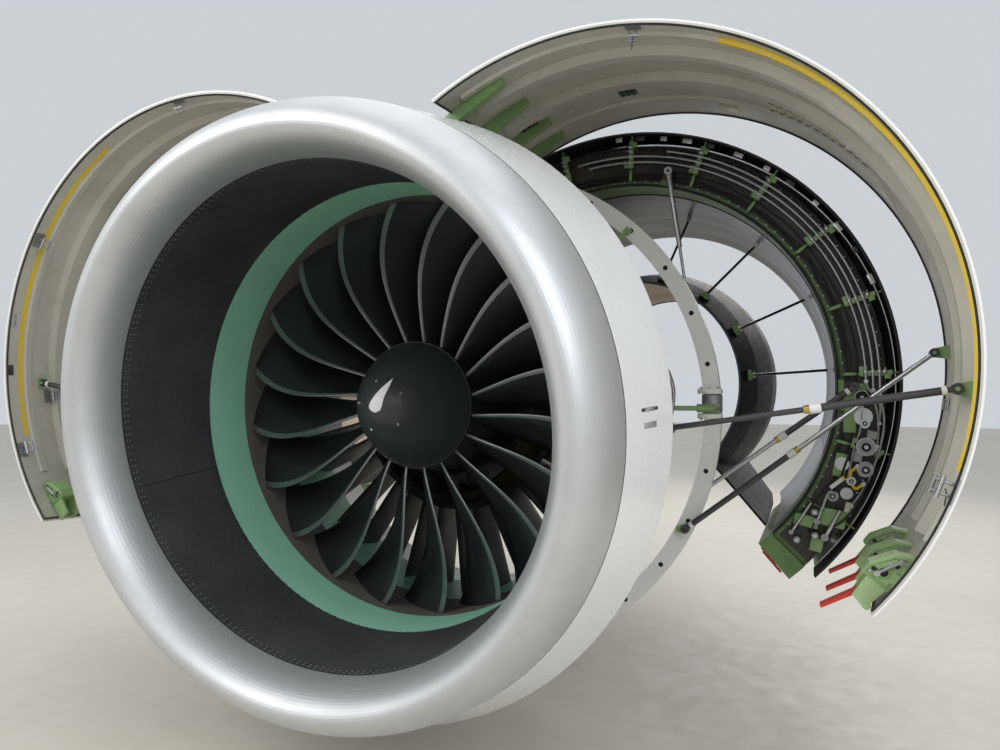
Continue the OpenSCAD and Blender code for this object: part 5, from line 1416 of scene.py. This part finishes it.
class ENGINE_OT_reverser(EngineOperator):
    """Adds seals, placards, bolts and pipes to the reverser halves"""

    bl_idname = "engine.reverser"
    bl_label = "Thrust reverser"

    def execute(self, context):
        for panel in REVERSERS:
            self.seals(panel)
            self.blanket(panel)
        for panel in REVERSERS:
            self.frame_fittings(panel)
        self.lower_fittings("right_reverser")
        self.drag_links("right_reverser")
        self.placards("right_reverser")
        return {"FINISHED"}

    def seals(self, panel):
        """Seals on the front frame, the bolts of its web and the inner structure's front edge."""
        seal = Parts()
        for r, y, radius, sides in ((1.123, TR_FRONT_Y - 0.004, 0.008, 10),
                                    (nacelle_r(1.75) - 0.012, TR_FRONT_Y - 0.003, 0.006, 8)):
            seal.tube([panel_point(panel, 73.5 - 156 * i / 100, r, y) for i in range(101)], radius, sides)
        seal.build(panel + "_seal", "rubber", panel)
        spots = [(panel_point(panel, 72 - 3.0 * i, r, WEB_Y - 0.0002), FORWARD)
                 for i in range(51) for r in (TORQUE_RING_R, 1.330)]
        heads(panel + "_rivets", spots, 0.005, 0.004, 6, "steel", panel)
        inner = Parts()
        inner.tube([panel_point(panel, 71.5 - 155 * i / 90, 0.613, 2.0505) for i in range(91)], 0.0065, 8)
        inner.build(panel + "_inner_edge", "edge_blue", panel)

    def blanket(self, panel):
        """Quilted blanket inside the inner structure."""
        rows, cols, verts = 44, 130, []
        for i in range(rows):
            y = 2.070 + 1.38 * i / (rows - 1)
            for k in range(cols):
                quilt = abs(math.sin(math.pi * i / 5.4)) * abs(math.sin(math.pi * k / 9.2))
                r = lookup(y, INNER_STRUCTURE) - 0.0155 - 0.008 * quilt ** 0.5
                verts.append(panel_point(panel, 70.0 - 150.0 * k / (cols - 1), r, y))
        new_object(panel + "_blanket", verts, grid_faces(rows, cols), "blanket", panel)

    def placards(self, panel):
        placards, dark = Parts(), Parts()
        for i, phi in enumerate(PLACARD_ANGLES):
            p = panel_point(panel, phi, 1.384, TR_FRONT_Y - 0.0016)
            along = panel_point(panel, phi + 1, 1.384, 0) - panel_point(panel, phi, 1.384, 0)
            parts = dark if i % 3 == 1 else placards
            parts.box(p, (0.052 if i % 2 else 0.036, 0.024, 0.002), along, AFT.cross(along))
        placards.build("reverser_placards", "plate", panel)
        dark.build("reverser_placards_dark", "plate_black", panel)

    def frame_fittings(self, panel):
        """Green crossbars on the ribs with their clamps, and the harness that they carry."""
        green, clamps, wires, bolts = Parts(), Parts(), Parts(), []
        for phi in CROSSBAR_ANGLES:
            out, along = across_panel(panel, phi)
            for turn, r, y, size in CROSSBAR_BOXES:
                green.box(panel_point(panel, phi + turn, r, y), size, out, along)
            for r in (1.252, 1.285, 1.316, 1.340):
                clamps.box(panel_point(panel, phi + 0.25, r, 1.7415), (0.019, 0.024, 0.018), out, along,
                           bevel=0.3)
                bolts.append((panel_point(panel, phi + 0.95, r + 0.003, 1.740), FORWARD))
            bolts += [(panel_point(panel, phi, r, 1.7405), FORWARD) for r in (1.236, 1.368)]
        rng = random.Random(3)
        for around, radius, first, last in HARNESS:
            path = []
            for phi in down_to(last, first, 4.25):
                r = around + rng.uniform(-0.006, 0.006)
                path.append(panel_point(panel, phi, r, 1.756 + rng.uniform(-0.004, 0.004)))
            wires.tube(spline(path, 3), radius, 8)
        green.build(panel + "_crossbars", "green", panel)
        clamps.build(panel + "_clamps", "steel", panel)
        wires.build(panel + "_harness", "rubber", panel)
        heads(panel + "_crossbar_bolts", bolts, 0.0052, 0.004, 6, "steel", panel)

    def lower_fittings(self, panel):
        """Valves, pipes, links and plates on the lower part of the frame."""
        sets = {finish: Parts() for finish in LOWER_FINISHES}
        for finish, turned, phi, r, y, size in LOWER_BOXES:
            sets[finish].box(panel_point(panel, phi, r, y), size, *across_panel(panel, turned))
        for finish, phi, r, radius, depth in VALVES:
            p = panel_point(panel, phi, r, 1.772)
            for kind, front, back, share, sides in (
                    (finish, 0.0, depth, 1.0, 28), ("steel", depth * 0.55, depth * 0.55 + 0.008, 1.14, 28),
                    ("black", depth, depth + 0.003, 0.55, 24),
                    ("steel", depth + 0.003, depth + 0.008, 0.28, 6)):
                sets[kind].bar(p + FORWARD * front, p + FORWARD * back, radius * share, sides)
        for finish, radius, path in LOWER_PIPES:
            line = [panel_point(panel, phi, r, 1.738 - 0.006 * math.sin(i))
                    for i, (phi, r) in enumerate(path)]
            sets[finish].tube(spline(line, 6), radius, 10)
            nuts = sets["black" if finish == "rubber" else "steel"]
            for end in (line[0], line[-1]):
                nuts.bar(end + FORWARD * 0.012, end - FORWARD * 0.020, radius * 1.7, 6)
        self.tag(sets, panel)
        for a, b, radius in LOWER_LINKS:
            sets["steel"].bar(panel_point(panel, *a, 1.730), panel_point(panel, *b, 1.730), radius, 14)
            sets["grey_cast"].bar(panel_point(panel, *b, 1.745), panel_point(panel, *b, 1.718),
                                  radius * 1.7, 18)
        for phi, r in LOWER_STUBS:
            end = panel_point(panel, phi, r, 1.722)
            sets["grey_cast"].bar(panel_point(panel, phi, r, 1.760), end, 0.017, 20)
            sets["steel"].bar(end, panel_point(panel, phi, r, 1.715), 0.009, 6)
        build_sets(sets, "reverser_lower_", panel)

    def tag(self, sets, panel):
        """White flow tag with a yellow end, askew below the valves."""
        out, along = across_panel(panel, -62)
        place = panel_point(panel, -62.8, 1.222, 1.720)
        x_axis, y_axis = out + along * 0.5, along - out * 0.5
        sets["mark"].box(place, (0.020, 0.075, 0.003), x_axis, y_axis)
        sets["yellow"].box(place - y_axis.normalized() * 0.043, (0.022, 0.012, 0.004), x_axis, y_axis)

    def drag_links(self, panel):
        """Green fittings of the drag links on the inner structure."""
        links = Parts()
        r = lookup(2.180, INNER_STRUCTURE)
        for phi in LINK_ANGLES:
            axes = across_panel(panel, phi)
            links.box(panel_point(panel, phi, r + 0.006, 2.190), (0.012, 0.060, 0.110), *axes)
            links.box(panel_point(panel, phi, r + 0.018, 2.180), (0.034, 0.038, 0.052), *axes)
        links.build("drag_link_fittings", "green", panel)


# Rods

class ENGINE_OT_rods(EngineOperator):
    """Adds collars and bright ends to the hold-open rods"""

    bl_idname = "engine.rods"
    bl_label = "Rods"

    def execute(self, context):
        rods = (
            ("front", "front_rod", panel_point("right_cowl", -51.6, cowl_in_r(0.662) - 0.058, 0.662),
             row((1.296, 0.662, -0.080))),
            ("back", "back_rod", row(closed_point(-26.6, 1.358, 1.558)),
             panel_point("right_cowl", -44.5, cowl_in_r(1.558) - 0.070, 1.558)),
            ("left", "left_rod", panel_point("left_cowl", -53.0, cowl_in_r(0.622) - 0.058, 0.622),
             row((-1.296, 0.622, -0.080))),
            ("reverser", "reverser_rod", panel_point("right_reverser", -39.0, 1.200, 1.694),
             row(closed_point(-17.9, 1.358, 1.694))),
        )
        for name, body, a, b in rods:
            d = (b - a).normalized()
            collar, nut, bright = Parts(), Parts(), Parts()
            p = a + d * ((b - a).length * 0.45)
            collar.bar(p - d * 0.012, p + d * 0.030, 0.0205, 24)
            nut.bar(p + d * 0.030, p + d * 0.052, 0.0170, 24)
            bright.bar(p + d * 0.052, b - d * 0.020, 0.0116, 20)
            collar.bar(a + d * 0.034, a + d * 0.052, 0.0170, 24)
            collar.build(name + "_rod_collar", "mark", body)
            nut.build(name + "_rod_nut", "gold", body)
            bright.build(name + "_rod_bright", "dark_steel" if name == "front" else "steel", body)
        return {"FINISHED"}


# Stage

FLOOR_REACH = 30
CAMERA_PLACE = (1.894, -2.595, 0.105)
CAMERA_PITCH = 90.63
CAMERA_TURN = 22.59
CAMERA_LENS = 28.08
LIGHT_TARGET = Vector((0.0, -1.2, -1.4))


class ENGINE_OT_stage(EngineOperator):
    """Sets up the floor, the lights and the camera"""

    bl_idname = "engine.stage"
    bl_label = "Stage"

    def execute(self, context):
        s = settings()
        scene = context.scene
        floor_z = -s.floor_drop - MOUNT_Z
        verts = [(x * FLOOR_REACH, y * FLOOR_REACH, floor_z) for x, y in ((-1, -1), (1, -1), (1, 1), (-1, 1))]
        floor = new_object("floor", verts, [(0, 1, 2, 3)], "floor", None, smooth=False)
        world = bpy.data.worlds.new("Hangar light")
        scene.world = world
        world.use_nodes = True
        background = next(n for n in world.node_tree.nodes if n.type == "BACKGROUND")
        background.inputs["Color"].default_value = (0.80, 0.84, 0.88, 1.0)
        background.inputs["Strength"].default_value = 0.75
        lights = (
            ("key", (-4.5, -7.5, 3.6), 7.0, s.key_power * 0.9, tuple(s.key_color)),
            ("fill", (6.5, -6.0, 2.2), 5.0, s.key_power * 0.62, (0.93, 0.96, 1.0)),
            ("roof", (0.5, 1.5, 5.5), 9.0, s.key_power * 0.5, (1.0, 1.0, 1.0)),
            ("back", (1.5, 8.0, 2.0), 4.0, s.key_power * 0.4, (1.0, 0.97, 0.92)),
        )
        for name, place, size, power, color in lights:
            data = bpy.data.lights.new(name, "AREA")
            data.size = size
            data.energy = power
            data.color = color
            obj = bpy.data.objects.new(name, data)
            obj.location = place
            obj.rotation_euler = (LIGHT_TARGET - Vector(place)).to_track_quat("-Z", "Y").to_euler()
            scene.collection.objects.link(obj)
        camera = bpy.data.cameras.new("photo camera")
        camera.sensor_width = 36.0
        camera.lens = CAMERA_LENS
        camera.clip_end = 200.0
        obj = bpy.data.objects.new("photo camera", camera)
        obj.location = row(CAMERA_PLACE)
        obj.rotation_euler = (math.radians(CAMERA_PITCH), 0.0, math.radians(CAMERA_TURN))
        scene.collection.objects.link(obj)
        scene.camera = obj
        scene.view_settings.view_transform = "Standard"
        return {"FINISHED"}


STEPS = (ENGINE_OT_finishes, ENGINE_OT_inlet, ENGINE_OT_fan, ENGINE_OT_case, ENGINE_OT_ring, ENGINE_OT_cowls,
         ENGINE_OT_reverser, ENGINE_OT_rods, ENGINE_OT_stage)


class ENGINE_PT_looks(bpy.types.Panel):
    """Lists the steps that dress the engine"""

    bl_idname = "ENGINE_PT_looks"
    bl_label = "Engine looks"
    bl_space_type = "VIEW_3D"
    bl_region_type = "UI"
    bl_category = "Engine"

    def draw(self, context):
        for name in EngineSettings.__annotations__:
            self.layout.prop(context.scene.engine_looks, name)
        for step in STEPS:
            self.layout.operator(step.bl_idname)


CLASSES = (EngineSettings, *STEPS, ENGINE_PT_looks)


def register():
    for cls in CLASSES:
        bpy.utils.register_class(cls)
    bpy.types.Scene.engine_looks = PointerProperty(type=EngineSettings)


def unregister():
    del bpy.types.Scene.engine_looks
    for cls in reversed(CLASSES):
        bpy.utils.unregister_class(cls)


def main():
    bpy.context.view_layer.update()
    register()
    for step in STEPS:
        group, name = step.bl_idname.split(".")
        getattr(getattr(bpy.ops, group), name)()


if __name__ == "__main__":
    main()
